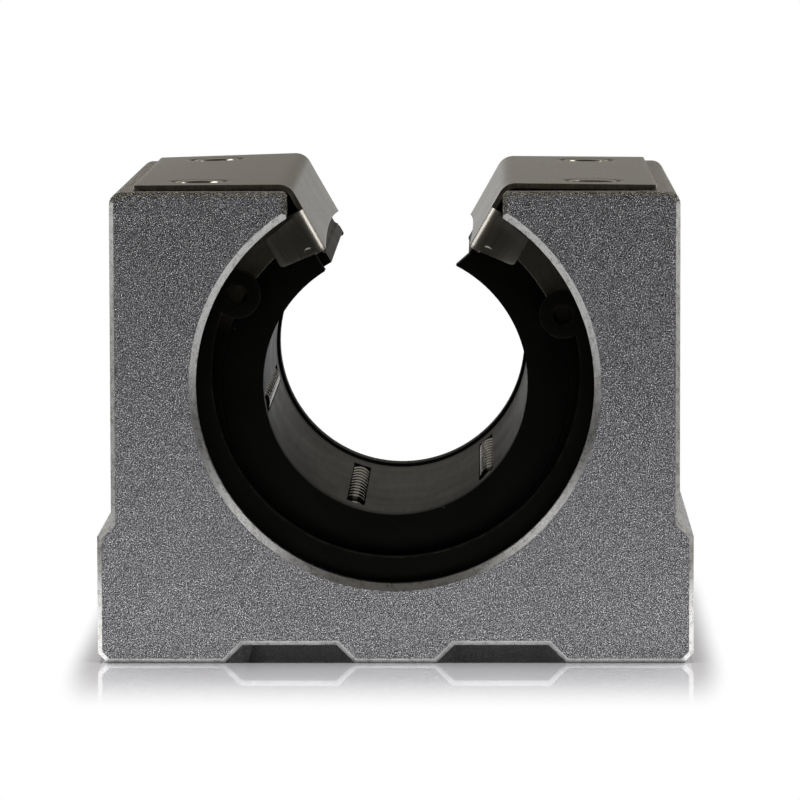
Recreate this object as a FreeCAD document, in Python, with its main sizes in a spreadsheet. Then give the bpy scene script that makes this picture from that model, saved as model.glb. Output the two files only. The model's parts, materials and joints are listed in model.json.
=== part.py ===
import FreeCAD, Part
import math
import os
import Sketcher

# Open linear bearing block for a supported 40 mm shaft, in millimetres.
#
# The mounting face lies on Z = 0 with its centre at the origin. Y runs along the shaft, X across
# it, and the slot for the shaft's rail opens upwards. The block, its cover plates and their
# screws are drawn from the mounting face. Everything round the shaft is drawn about the shaft's
# axis and then lifted by the shaft height.

SIZES = (
    # Block
    ("block_width", 90.0, "over the foot flanges"),
    ("block_length", 90.0, "along the shaft"),
    ("block_height", 71.2, "mounting face to the tops of the legs"),
    ("body_width", 85.8, "over the body above the foot flanges"),
    ("flange_side", 19.2, "height of the upright side of a foot flange"),
    ("shaft_height", 42.0, "mounting face to the shaft's axis"),
    ("bore_radius", 30.0, "bore that holds the bushing"),
    ("slot_width", 32.5, "between the legs"),
    ("foot_chamfer", 1.5, "outer edges of the mounting face"),
    ("shoulder_radius", 1.9, "outer edges of the legs' tops"),
    ("leg_chamfer", 0.6, "inner edges of the legs' tops"),
    ("channel_spacing", 32.0, "between the two channels of the mounting face"),
    ("channel_width", 19.6, "at the mounting face"),
    ("channel_depth", 2.7, "its sides lean at 45 degrees"),
    ("face_chamfer", 0.7, "round the outline of both end faces"),
    ("mouth_chamfer", 1.05, "at both mouths of the bore"),
    ("mount_spacing_x", 65.0, "mounting holes, across the shaft"),
    ("mount_spacing_y", 65.0, "mounting holes, along the shaft"),
    ("mount_radius", 4.25, "tapping bore for a 10 mm screw"),
    ("mount_depth", 20.0, "depth of the tapping bore"),
    # Snap rings, one at each end of the bushing
    ("ring_thickness", 2.0, "along the shaft"),
    ("ring_play", 0.15, "along the shaft, in the groove"),
    ("groove_depth", 1.5, "of the ring groove, from the bore"),
    ("groove_gap", 0.2, "from the groove's floor to the ring"),
    ("ring_inner", 27.75, "radius of the ring's inside"),
    ("ring_offset", 1.6, "centre of the ring's inside, towards its gap"),
    ("ear_reach", 27.4, "shaft's axis to the centre of an ear"),
    ("ear_radius", 3.6, "outside of an ear"),
    ("ear_hole", 1.45, "radius of the plier hole"),
    ("ear_angle", 63.9, "from the middle of the gap to an ear"),
    ("ear_cover", 3.5, "angle from the ring's end to the middle of its ear"),
    ("ring_turn", 3.6, "how far each ring has crept round its groove, in degrees"),
    # Bushing
    ("sleeve_length", 80.0, "outer sleeve"),
    ("sleeve_fit", 0.02, "radial gap between sleeve and bore"),
    ("sleeve_inner", 26.3, "radius of the sleeve's inside"),
    ("slot_half_angle", 29.4, "from the middle of the bushing's slot to its side, in degrees"),
    ("shaft_radius", 20.0, "the shaft that runs in the bushing"),
    ("ball_radius", 1.985, "recirculating balls"),
    ("ball_play", 0.015, "between a loaded ball and the shaft"),
    ("ball_gap", 0.06, "smallest gap between two balls of a circuit"),
    ("circuit_places", 6.0, "equal places round the bushing: the slot takes one of them"),
    ("row_spread", 18.0, "from the middle of a circuit to the rows on its two sides, in degrees"),
    ("track_straight", 50.0, "straight length of a circuit"),
    ("loaded_length", 55.5, "opening through which the loaded balls reach the shaft"),
    ("land_length", 45.6, "raised raceway inside the sleeve"),
    ("land_width", 7.2, "across the raised raceway"),
    ("land_reach", 23.0, "shaft's axis to the face of the raised raceway"),
    ("race_radius", 2.05, "hollow of the raceway"),
    ("lift_start", 1.0, "land's end to where the balls begin to lift"),
    ("lift_length", 3.5, "over which the balls lift off the shaft"),
    ("retainer_inner", 20.5, "radius of the retainer's inside"),
    ("retainer_gap", 0.1, "between retainer and sleeve"),
    ("track_floor", 21.0, "shaft's axis to the floor of the return track"),
    ("track_gap", 0.115, "on each side of a ball in its track"),
    ("recess_reach", 22.3, "shaft's axis to the retainer's recess for the raised raceway"),
    ("recess_gap", 0.5, "round the raised raceway"),
    ("rim_overhang", 0.4, "retainer's rim past the sleeve's slot face"),
    ("rim_top", 22.4, "shaft's axis to the rim's upper edge"),
    # End seals, which also hold the retainer in the sleeve
    ("seal_thickness", 4.0, "along the shaft"),
    ("seal_recess", 0.3, "sleeve's end to the seal's face"),
    ("seal_gap", 0.05, "between seal and sleeve"),
    ("seal_left", 31.8, "side of the seal's slot, in degrees"),
    ("seal_right", 29.7, "other side of the seal's slot, in degrees"),
    ("seal_tip", 27.2, "tip of the lip on that side, in degrees"),
    ("seal_tip_reach", 22.5, "shaft's axis to where the tip begins"),
    # Cover plates over the legs
    ("plate_thickness", 0.8, "folded sheet"),
    ("plate_length", 80.6, "without its end tabs"),
    ("tab_play", 0.6, "sleeve's end to the inside of a tab"),
    ("plate_edge", 39.8, "shaft's plane to the plate's outer edge"),
    ("rise_start", 26.0, "shaft's plane to where the plate starts to rise"),
    ("plate_rise", 0.35, "at the bend"),
    ("bend_radius", 1.6, "outside of the bend"),
    ("flange_reach", 22.6, "shaft's axis to the lower edge of the slanted flange"),
    ("flange_bow", 1.0, "how far that edge is cut back between the tabs"),
    ("tab_width", 6.9, "from the fold to the tab's far side"),
    ("tab_taper", 1.3, "how far the tab's upper and lower edges close in"),
    ("tab_reach", 29.3, "shaft's axis to the tab's upper end"),
    ("tab_radius", 0.9, "far corners of a tab"),
    ("fold_radius", 1.0, "outside of the fold"),
    # Countersunk screws that hold the cover plates
    ("screw_spacing_x", 60.0, "across the shaft"),
    ("screw_spacing_y", 60.0, "along the shaft"),
    ("head_radius", 3.4, "countersunk head"),
    ("shank_radius", 1.75, "screw shank"),
    ("screw_length", 9.0, "over head and shank"),
    ("screw_gap", 0.05, "round the head and the shank"),
    ("pilot_depth", 10.0, "leg's top to the floor of the screw hole"),
    ("cross_width", 1.1, "arm of the cross recess"),
    ("cross_reach", 2.0, "screw's axis to the end of an arm"),
    ("cross_depth", 1.3, "cross recess"),
)

FULL_TURN = 360  # degrees
BALL_SIDES = 5  # sides of each pole's cap on a ball with twenty facets
TURN_SIDES = 4  # straight sides that stand for each half circle of a ball track


# --- The sheet, and reading it ---------------------------------------------------------------


def make_sheet(doc):
    """The spreadsheet of driving sizes: name, value and meaning, one row each."""
    sheet = doc.addObject("Spreadsheet::Sheet", "Size")
    for row, (name, value, meaning) in enumerate(SIZES, start=1):
        sheet.set(f"A{row}", name)
        sheet.set(f"B{row}", str(value))
        sheet.set(f"C{row}", meaning)
        sheet.setAlias(f"B{row}", name)
    doc.recompute()
    return sheet


def worked_out(owner, expression):
    """The number that an expression on the sheet gives now."""
    return float(owner.evalExpression(expression))


def spoke(bearing, reach, side="0"):
    """Expressions for a point in the plane across the shaft, seen from the shaft's axis.

    The bearing is in degrees from straight up, positive towards +X. The point lies at `reach`
    along it, and at `side` to the right of it.
    """
    sine = f"sin(({bearing}) * 1deg)"
    cosine = f"cos(({bearing}) * 1deg)"
    across = f"({reach}) * {sine} + ({side}) * {cosine}"
    upward = f"({reach}) * {cosine} - ({side}) * {sine}"
    return across, upward


# --- Sketches --------------------------------------------------------------------------------


def origin_feature(body, role):
    """One of the planes and axes of a body's own origin."""
    return next(item for item in body.Origin.OriginFeatures if item.Role == role)


def sketch_on(body, role, name, lift="0"):
    """A sketch on one of the body's origin planes, lifted along the plane's normal."""
    sketch = body.newObject("Sketcher::SketchObject", name)
    sketch.AttachmentSupport = [(origin_feature(body, role), "")]
    sketch.MapMode = "FlatFace"
    sketch.setExpression("AttachmentOffset.Base.z", lift)
    return sketch


def bind(sketch, constraint, expression):
    """Add a dimension to a sketch and tie it to the sheet."""
    number = sketch.addConstraint(constraint)
    sketch.setExpression(f"Constraints[{number}]", expression)


def pin_point(sketch, line, end, across, upward):
    """Hold one point of the sketch at two coordinates that come from the sheet."""
    bind(sketch, Sketcher.Constraint("DistanceX", line, end, worked_out(sketch, across)), across)
    bind(sketch, Sketcher.Constraint("DistanceY", line, end, worked_out(sketch, upward)), upward)


def add_outline(sketch, corners):
    """A closed outline of straight sides through corners given as pairs of expressions."""
    places = [
        FreeCAD.Vector(worked_out(sketch, across), worked_out(sketch, upward), 0)
        for across, upward in corners
    ]
    first = sketch.GeometryCount
    for number, place in enumerate(places):
        following = places[(number + 1) % len(places)]
        sketch.addGeometry(Part.LineSegment(place, following), False)
    for number, (across, upward) in enumerate(corners):
        line = first + number
        after = first + (number + 1) % len(corners)
        sketch.addConstraint(Sketcher.Constraint("Coincident", line, 2, after, 1))
        pin_point(sketch, line, 1, across, upward)


def add_circle(sketch, across, upward, radius):
    """A full circle whose centre and radius are expressions."""
    centre = FreeCAD.Vector(worked_out(sketch, across), worked_out(sketch, upward), 0)
    size = worked_out(sketch, radius)
    normal = FreeCAD.Vector(0, 0, 1)
    line = sketch.addGeometry(Part.Circle(centre, normal, size), False)
    pin_point(sketch, line, 3, across, upward)
    bind(sketch, Sketcher.Constraint("Radius", line, size), radius)


def track_outline(left, right, half_length, outside):
    """Corners of a long oval along the sketch's Y axis, whose ends have straight sides.

    An outer wall's sides touch the half circle at each end from outside, and an inner wall's
    corners lie on it, so the track between them is never narrower than the half circles leave.
    """
    middle = f"(({left}) + ({right})) / 2"
    radius = f"(({right}) - ({left})) / 2"
    step = 180 / TURN_SIDES
    first = step / 2 if outside else 0
    reach = f"{radius} / cos({first} * 1deg)"
    count = TURN_SIDES if outside else TURN_SIDES + 1
    corners = []
    for end in (1, -1):
        for number in range(count):
            angle = first + number * step
            if end < 0:
                angle += 180
            across = f"{middle} + {reach} * cos({angle} * 1deg)"
            along = f"{end} * ({half_length}) + {reach} * sin({angle} * 1deg)"
            corners.append((across, along))
    return corners


# --- Features --------------------------------------------------------------------------------


def new_body(doc, label, lifted=False, yaw=0.0, turn=0.0):
    """An empty body. A lifted one is drawn about the shaft's axis.

    The turn is about the shaft's axis, in degrees, and the yaw about Z comes after it, so that
    a yaw of half a turn makes the rear part from the front one.
    """
    body = doc.addObject("PartDesign::Body", label)
    body.Label = label
    about_shaft = FreeCAD.Rotation(FreeCAD.Vector(0, 1, 0), turn)
    about_upright = FreeCAD.Rotation(FreeCAD.Vector(0, 0, 1), yaw)
    body.Placement = FreeCAD.Placement(FreeCAD.Vector(0, 0, 0), about_upright * about_shaft)
    if lifted:
        body.setExpression("Placement.Base.z", "Size.shaft_height")
    return body


def extrude(body, kind, name, sketch, length=None, side="Symmetric", backwards=False):
    """A Pad or a Pocket of a sketch. With no length, a pocket goes through everything."""
    feature = body.newObject(f"PartDesign::{kind}", name)
    feature.Profile = sketch
    feature.SideType = side
    feature.Reversed = backwards
    if length is None:
        feature.Type = "ThroughAll"
    else:
        feature.setExpression("Length", length)
    return feature


def mirror(body, name, feature, role):
    """Repeat a feature on the other side of one of the body's origin planes."""
    copy = body.newObject("PartDesign::Mirrored", name)
    copy.Originals = [feature]
    copy.MirrorPlane = (origin_feature(body, role), [""])
    body.Tip = copy
    return copy


def repeat_round_shaft(body, name, features):
    """Repeat features at every circuit place round the shaft."""
    pattern = body.newObject("PartDesign::PolarPattern", name)
    pattern.Originals = features
    pattern.Axis = (origin_feature(body, "Y_Axis"), [""])
    pattern.Angle = FULL_TURN
    pattern.setExpression("Occurrences", "Size.circuit_places")
    body.Tip = pattern
    return pattern


def edges_where(feature, test):
    """Names of the feature's edges that pass a test."""
    return [
        f"Edge{number}" for number, edge in enumerate(feature.Shape.Edges, start=1) if test(edge)
    ]


def ease_edges(body, kind, name, base, edges, size):
    """A Fillet or a Chamfer on named edges of the feature before it."""
    feature = body.newObject(f"PartDesign::{kind}", name)
    feature.Base = (base, edges)
    feature.setExpression("Radius" if kind == "Fillet" else "Size", size)
    return feature


def is_straight(edge):
    return edge.Curve.TypeId == "Part::GeomLine"


def runs_along(edge, axis):
    """Is this a straight edge along one of the three axes?"""
    return is_straight(edge) and abs(edge.Curve.Direction.dot(axis)) > 0.9999


def near(first, second, within=0.01):
    return abs(first - second) < within


# --- The block -------------------------------------------------------------------------------


def block_outline():
    """Corners of the block's section, without its bore and slot, from the left foot round."""
    corners = [("-Size.block_width / 2 + Size.foot_chamfer", "0")]
    for hand in (-1, 1):
        centre = f"{hand} * Size.channel_spacing / 2"
        for edge in (-1, 1):
            mouth = f"{centre} + {edge} * Size.channel_width / 2"
            ceiling = f"{centre} + {edge} * (Size.channel_width / 2 - Size.channel_depth)"
            pair = [(mouth, "0"), (ceiling, "Size.channel_depth")]
            corners += pair if edge < 0 else reversed(pair)
    shelf = "Size.flange_side + (Size.block_width - Size.body_width) / 2"
    right_side = [
        ("Size.block_width / 2 - Size.foot_chamfer", "0"),
        ("Size.block_width / 2", "Size.foot_chamfer"),
        ("Size.block_width / 2", "Size.flange_side"),
        ("Size.body_width / 2", shelf),
        ("Size.body_width / 2", "Size.block_height"),
    ]
    corners += right_side
    for across, upward in reversed(right_side[1:]):
        corners.append((f"-({across})", upward))
    return corners


def hole_centres(spacing_x, spacing_y):
    """The four corners of a rectangle of holes, as expressions."""
    return [
        (f"{hand} * {spacing_x} / 2", f"{end} * {spacing_y} / 2")
        for hand in (-1, 1)
        for end in (-1, 1)
    ]


def drill(body, name, sketch, diameter, depth=None, upwards=False):
    """A drilled hole at each circle of a sketch. With no depth it goes through everything."""
    hole = body.newObject("PartDesign::Hole", name)
    hole.Profile = sketch
    hole.ThreadType = "None"
    hole.Reversed = upwards
    hole.setExpression("Diameter", diameter)
    if depth is None:
        hole.DepthType = "ThroughAll"
    else:
        hole.DepthType = "Dimension"
        hole.DrillPoint = "Flat"
        hole.setExpression("Depth", depth)
    return hole


def countersink(hole, diameter):
    """Give a hole a right-angled countersink of its own size."""
    hole.HoleCutType = "Countersink"
    hole.HoleCutCustomValues = True
    hole.HoleCutCountersinkAngle = 90
    hole.setExpression("HoleCutDiameter", diameter)


def bearing_block(doc):
    """The extruded and machined aluminium block with its bore, slot, grooves and holes."""
    body = new_body(doc, "bearing_block")

    section = sketch_on(body, "XZ_Plane", "block_section")
    add_outline(section, block_outline())
    extrude(body, "Pad", "block_pad", section, "Size.block_length")

    bore = sketch_on(body, "XZ_Plane", "bore_circle")
    add_circle(bore, "0", "Size.shaft_height", "Size.bore_radius")
    extrude(body, "Pocket", "bore_pocket", bore)

    slot = sketch_on(body, "XZ_Plane", "slot_section")
    half = "Size.slot_width / 2"
    chamfer_foot = "Size.block_height - Size.leg_chamfer"
    above = "Size.block_height + Size.leg_chamfer"
    wide = "Size.slot_width / 2 + 2 * Size.leg_chamfer"
    slot_side = [(half, "Size.shaft_height"), (half, chamfer_foot), (wide, above)]
    mirrored_side = [(f"-({across})", upward) for across, upward in reversed(slot_side)]
    add_outline(slot, slot_side + mirrored_side)
    slot_pocket = extrude(body, "Pocket", "slot_pocket", slot)
    doc.recompute()

    along_shaft = FreeCAD.Vector(0, 1, 0)
    width = worked_out(body, "Size.body_width")
    height = worked_out(body, "Size.block_height")
    shoulders = edges_where(
        slot_pocket,
        lambda edge: runs_along(edge, along_shaft)
        and near(abs(edge.CenterOfMass.x), width / 2)
        and near(edge.CenterOfMass.z, height),
    )
    rounded = ease_edges(
        body, "Fillet", "shoulder_fillet", slot_pocket, shoulders, "Size.shoulder_radius"
    )
    doc.recompute()

    half_length = worked_out(body, "Size.block_length / 2")
    bore_radius = worked_out(body, "Size.bore_radius")
    outline_edges = edges_where(
        rounded,
        lambda edge: near(abs(edge.CenterOfMass.y), half_length)
        and (is_straight(edge) or not near(edge.Curve.Radius, bore_radius)),
    )
    ease_edges(body, "Chamfer", "face_chamfers", rounded, outline_edges, "Size.face_chamfer")

    mouth = sketch_on(body, "YZ_Plane", "mouth_section")
    face = "-Size.block_length / 2"
    wall = "-Size.bore_radius"
    size = "Size.mouth_chamfer"
    axis_height = "Size.shaft_height"
    add_outline(
        mouth,
        [
            (f"{face} - {size}", f"{axis_height} {wall} - 2 * {size}"),
            (f"{face} + {size}", f"{axis_height} {wall}"),
            (f"{face} - {size}", f"{axis_height} {wall}"),
        ],
    )
    mouth_groove = groove_round_shaft(body, "mouth_groove", mouth)
    mirror(body, "rear_mouth", mouth_groove, "XZ_Plane")

    ring_seat = sketch_on(body, "YZ_Plane", "ring_seat_section")
    inner = "-Size.sleeve_length / 2"
    outer = f"{inner} - Size.ring_thickness - Size.ring_play"
    floor = f"{axis_height} {wall} - Size.groove_depth"
    inside = f"{axis_height} {wall} + Size.groove_depth"
    add_outline(ring_seat, [(outer, floor), (inner, floor), (inner, inside), (outer, inside)])
    ring_groove = groove_round_shaft(body, "ring_groove", ring_seat)
    mirror(body, "rear_ring_groove", ring_groove, "XZ_Plane")
    doc.recompute()

    mounting = sketch_on(body, "XY_Plane", "mounting_holes")
    for across, along in hole_centres("Size.mount_spacing_x", "Size.mount_spacing_y"):
        add_circle(mounting, across, along, "Size.mount_radius")
    doc.recompute()
    drill(body, "mounting_drill", mounting, "2 * Size.mount_radius", "Size.mount_depth", True)

    pilots = sketch_on(body, "XY_Plane", "pilot_holes", "Size.block_height")
    for across, along in hole_centres("Size.screw_spacing_x", "Size.screw_spacing_y"):
        add_circle(pilots, across, along, "Size.shank_radius")
    doc.recompute()
    pilot = "2 * (Size.shank_radius + Size.screw_gap)"
    pilot_drill = drill(body, "pilot_drill", pilots, pilot, "Size.pilot_depth")
    countersink(pilot_drill, "2 * (Size.head_radius + Size.screw_gap - Size.plate_thickness)")
    return body


def groove_round_shaft(body, name, sketch):
    """A full-turn Groove about the shaft's axis, of a section on the block's YZ plane."""
    height = worked_out(sketch, "Size.shaft_height")
    reach = worked_out(sketch, "Size.block_length / 2")
    start = FreeCAD.Vector(-reach, height, 0)
    end = FreeCAD.Vector(reach, height, 0)
    line = sketch.addGeometry(Part.LineSegment(start, end), True)
    pin_point(sketch, line, 1, "-Size.block_length / 2", "Size.shaft_height")
    pin_point(sketch, line, 2, "Size.block_length / 2", "Size.shaft_height")
    groove = body.newObject("PartDesign::Groove", name)
    groove.Profile = sketch
    groove.ReferenceAxis = (sketch, ["Axis0"])
    groove.Angle = FULL_TURN
    return groove


# --- Snap rings ------------------------------------------------------------------------------


def snap_ring(doc, name, yaw):
    """One snap ring: a flat eccentric ring with a wide gap and an ear at each end."""
    body = new_body(doc, name, lifted=True, yaw=yaw, turn=worked_out(doc.Size, "Size.ring_turn"))
    start = "Size.sleeve_length / 2"

    band = sketch_on(body, "XZ_Plane", f"{name}_band", start)
    add_circle(band, "0", "0", "Size.bore_radius + Size.groove_depth - Size.groove_gap")
    add_circle(band, "0", "Size.ring_offset", "Size.ring_inner")
    extrude(body, "Pad", f"{name}_pad", band, "Size.ring_thickness", "One side")

    gap = sketch_on(body, "XZ_Plane", f"{name}_gap", start)
    side = "Size.ear_angle - Size.ear_cover"
    reach = "2 * Size.bore_radius"
    add_outline(
        gap,
        [("0", "0"), spoke(f"-({side})", reach), ("0", reach), spoke(side, reach)],
    )
    extrude(body, "Pocket", f"{name}_gap_cut", gap)

    ears = sketch_on(body, "XZ_Plane", f"{name}_ears", start)
    holes = sketch_on(body, "XZ_Plane", f"{name}_plier_holes", start)
    for bearing in ("-Size.ear_angle", "Size.ear_angle"):
        across, upward = spoke(bearing, "Size.ear_reach")
        add_circle(ears, across, upward, "Size.ear_radius")
        add_circle(holes, across, upward, "Size.ear_hole")
    extrude(body, "Pad", f"{name}_ear_pad", ears, "Size.ring_thickness", "One side")
    extrude(body, "Pocket", f"{name}_hole_cut", holes)
    return body


# --- Bushing ---------------------------------------------------------------------------------

# Straight down and then towards -X: the loaded row of the lowest circuit.
LOADED_ROW = "180 + Size.row_spread"


def slot_wedge(side="0", start="0"):
    """Corners of the slot between two faces that lie `side` inside the slot's own faces."""
    reach = "2 * Size.bore_radius"
    left = "-Size.slot_half_angle"
    right = "Size.slot_half_angle"
    far = [spoke(left, reach, side), spoke(right, reach, f"-({side})")]
    if start != "0":
        return [spoke(left, start, side), *far, spoke(right, start, f"-({side})")]
    return [("0", f"({side}) / sin(Size.slot_half_angle * 1deg)"), *far]


def cut_slot(body, name, corners):
    """Cut the bushing's slot through a body."""
    wedge = sketch_on(body, "XZ_Plane", f"{name}_outline")
    add_outline(wedge, corners)
    return extrude(body, "Pocket", name, wedge)


def row_band(half_width, near_reach, far_reach):
    """A rectangle across the loaded row, from one distance from the shaft's axis to another."""
    return [
        spoke(LOADED_ROW, near_reach, f"-({half_width})"),
        spoke(LOADED_ROW, near_reach, half_width),
        spoke(LOADED_ROW, far_reach, half_width),
        spoke(LOADED_ROW, far_reach, f"-({half_width})"),
    ]


def outer_sleeve(doc):
    """The hardened sleeve: a slotted tube with a raised raceway for each loaded row."""
    body = new_body(doc, "outer_sleeve", lifted=True)
    outer = "Size.bore_radius - Size.sleeve_fit"

    tube = sketch_on(body, "XZ_Plane", "sleeve_section")
    add_circle(tube, "0", "0", outer)
    add_circle(tube, "0", "0", "Size.sleeve_inner")
    extrude(body, "Pad", "sleeve_pad", tube, "Size.sleeve_length")

    land = sketch_on(body, "XZ_Plane", "land_section")
    root = "Size.sleeve_inner + (Size.bore_radius - Size.sleeve_inner) / 2"
    add_outline(land, row_band("Size.land_width / 2", "Size.land_reach", root))
    land_pad = extrude(body, "Pad", "land_pad", land, "Size.land_length")
    race = sketch_on(body, "XZ_Plane", "race_section")
    row = "Size.shaft_radius + Size.ball_play + Size.ball_radius"
    across, upward = spoke(LOADED_ROW, row)
    add_circle(race, across, upward, "Size.race_radius")
    race_cut = extrude(body, "Pocket", "race_cut", race, "Size.land_length")
    repeat_round_shaft(body, "raceways", [land_pad, race_cut])
    cut_slot(body, "sleeve_slot", slot_wedge())
    return body


def circuit_widths():
    """Expressions for the offsets of a circuit's loaded and return rows from its middle."""
    row = "(Size.shaft_radius + Size.ball_play + Size.ball_radius)"
    level = "(Size.track_floor + Size.ball_radius + Size.ball_play)"
    loaded = f"-{row} * sin(Size.row_spread * 1deg)"
    returning = f"{level} * tan(Size.row_spread * 1deg)"
    return loaded, returning


def ball_retainer(doc):
    """The moulded retainer: five closed ball tracks, each open to the shaft along one side."""
    body = new_body(doc, "ball_retainer", lifted=True)
    tube = sketch_on(body, "XZ_Plane", "retainer_section")
    outer = "Size.sleeve_inner - Size.retainer_gap"
    add_circle(tube, "0", "0", outer)
    add_circle(tube, "0", "0", "Size.retainer_inner")
    extrude(body, "Pad", "retainer_pad", tube, f"2 * ({retainer_half_length()})")

    loaded, returning = circuit_widths()
    half_track = "(Size.ball_radius + Size.track_gap)"
    track = sketch_on(body, "XY_Plane", "track_section", "-Size.track_floor")
    for outside, grown in ((True, half_track), (False, f"-{half_track}")):
        left = f"{loaded} - {grown}"
        right = f"{returning} + {grown}"
        add_outline(track, track_outline(left, right, "Size.track_straight / 2", outside))
    track_cut = extrude(
        body, "Pocket", "track_cut", track, "Size.sleeve_inner", "One side"
    )

    opening = sketch_on(body, "XZ_Plane", "opening_section")
    across, upward = spoke(LOADED_ROW, "Size.shaft_radius + Size.ball_play + Size.ball_radius")
    add_circle(opening, across, upward, half_track)
    opening_cut = extrude(body, "Pocket", "opening_cut", opening, "Size.loaded_length")

    recess = sketch_on(body, "XZ_Plane", "recess_section")
    half_width = "Size.land_width / 2 + Size.recess_gap"
    add_outline(recess, row_band(half_width, "Size.recess_reach", "Size.bore_radius"))
    recess_length = "Size.land_length + 2 * Size.recess_gap"
    recess_cut = extrude(body, "Pocket", "recess_cut", recess, recess_length)
    repeat_round_shaft(body, "tracks", [track_cut, opening_cut, recess_cut])

    cut_slot(body, "retainer_slot", slot_wedge("Size.rim_overhang"))
    cut_slot(body, "rim_step", slot_wedge("0", "Size.rim_top"))
    return body


def retainer_half_length():
    """Expression for half the retainer's length: what the seals leave free."""
    return "Size.sleeve_length / 2 - Size.seal_recess - Size.seal_thickness"


def end_seal(doc, name, yaw):
    """A rubber end seal that wipes the shaft and closes the sleeve's end."""
    body = new_body(doc, name, lifted=True, yaw=yaw)
    face = "Size.sleeve_length / 2 - Size.seal_recess"
    ring = sketch_on(body, "XZ_Plane", f"{name}_ring", face)
    add_circle(ring, "0", "0", "Size.sleeve_inner - Size.seal_gap")
    add_circle(ring, "0", "0", "Size.shaft_radius")
    extrude(body, "Pad", f"{name}_pad", ring, "Size.seal_thickness", "One side", True)

    slot = sketch_on(body, "XZ_Plane", f"{name}_slot")
    reach = "2 * Size.bore_radius"
    add_outline(
        slot,
        [
            ("0", "0"),
            spoke("-Size.seal_left", reach),
            spoke("Size.seal_right", reach),
            spoke("Size.seal_right", "Size.seal_tip_reach"),
            spoke("Size.seal_tip", "Size.shaft_radius"),
        ],
    )
    extrude(body, "Pocket", f"{name}_slot_cut", slot)
    return body


# --- Balls -----------------------------------------------------------------------------------


def faceted_ball(radius):
    """A ball with twenty equal facets whose corners lie on the true sphere."""
    latitude = math.atan(0.5)
    around = radius * math.cos(latitude)
    level = radius * math.sin(latitude)
    upper = []
    lower = []
    for side in range(BALL_SIDES):
        for ring, height, shift in ((upper, level, 0), (lower, -level, 0.5)):
            longitude = 2 * math.pi * (side + shift) / BALL_SIDES
            across = around * math.cos(longitude)
            along = around * math.sin(longitude)
            ring.append(FreeCAD.Vector(across, along, height))
    top = FreeCAD.Vector(0, 0, radius)
    bottom = FreeCAD.Vector(0, 0, -radius)
    faces = []
    for side in range(BALL_SIDES):
        after = (side + 1) % BALL_SIDES
        for corners in (
            (top, upper[side], upper[after]),
            (upper[side], lower[side], upper[after]),
            (lower[side], lower[after], upper[after]),
            (bottom, lower[after], lower[side]),
        ):
            faces.append(Part.Face(Part.makePolygon([*corners, corners[0]])))
    ball = Part.Solid(Part.Shell(faces))
    if ball.Volume < 0:
        ball.reverse()
    return ball


def circuit_path(sheet):
    """The path of a ball's centre round the lowest circuit.

    Returns the path's length, and a function that turns a distance along the path, counted from
    the middle of the loaded row, into a point about the shaft's axis.
    """
    loaded_expression, return_expression = circuit_widths()
    loaded = worked_out(sheet, loaded_expression)
    returning = worked_out(sheet, return_expression)
    middle = (loaded + returning) / 2
    radius = (returning - loaded) / 2
    half = worked_out(sheet, "Size.track_straight / 2")
    turn = math.pi * radius
    spread = math.radians(sheet.row_spread)
    low = (sheet.shaft_radius + sheet.ball_play + sheet.ball_radius) * math.cos(spread)
    high = sheet.track_floor + sheet.ball_radius + sheet.ball_play
    lift_start = sheet.land_length / 2 + sheet.lift_start

    def point_at(distance):
        end = math.copysign(1, distance)
        travel = abs(distance)
        lifted = min(max((travel - lift_start) / sheet.lift_length, 0), 1)
        level = low + (high - low) * lifted
        if travel <= half:
            across, along = loaded, travel
        elif travel <= half + turn:
            swung = (travel - half) / radius
            across = middle - radius * math.cos(swung)
            along = half + radius * math.sin(swung)
        else:
            across, along = returning, 2 * half + turn - travel
        return FreeCAD.Vector(across, end * along, -level)

    return 4 * half + 2 * turn, point_at


def add_ball_rows(doc):
    """Two groups of balls in every circuit: those in reach of the shaft, and the others."""
    sheet = doc.Size
    length, point_at = circuit_path(sheet)
    count = int(length / (2 * sheet.ball_radius + sheet.ball_gap))
    ball = faceted_ball(sheet.ball_radius)
    shaft_axis = FreeCAD.Vector(0, 1, 0)
    places = round(sheet.circuit_places)
    rows = []
    for circuit in range(1, places):
        # The slot is straight up, at half a turn from the lowest circuit.
        turned = FreeCAD.Rotation(shaft_axis, 180 - FULL_TURN * circuit / places)
        groups = {"loaded_balls": [], "return_balls": []}
        for number in range(count):
            distance = ((number + 0.5) / count - 0.5) * length
            in_reach = abs(distance) < sheet.loaded_length / 2
            copy = ball.copy()
            copy.translate(turned.multVec(point_at(distance)))
            groups["loaded_balls" if in_reach else "return_balls"].append(copy)
        for kind, balls in groups.items():
            row = doc.addObject("Part::Feature", f"{kind}_{circuit}")
            row.Label = f"{kind}_{circuit}"
            row.Shape = Part.makeCompound(balls)
            row.setExpression("Placement.Base.z", "Size.shaft_height")
            rows.append(row)
    return rows


# --- Cover plates and their screws -----------------------------------------------------------


def flange_point(reach, side):
    """A point of the left plate beside the slot face, seen from the mounting face."""
    across, upward = spoke("-Size.slot_half_angle", reach, side)
    return across, f"Size.shaft_height + {upward}"


def plate_corner(level, side):
    """Where the plate's slanted flange meets a level, on one side of the sheet."""
    sine = "sin(Size.slot_half_angle * 1deg)"
    cosine = "cos(Size.slot_half_angle * 1deg)"
    rise = f"(({level}) - Size.shaft_height)"
    return f"(({side}) - {rise} * {sine}) / {cosine}", level


TAB_FACE = "(Size.sleeve_length / 2 + Size.tab_play + Size.plate_thickness)"
PLATE_TOP = "(Size.block_height + Size.plate_thickness)"


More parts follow.
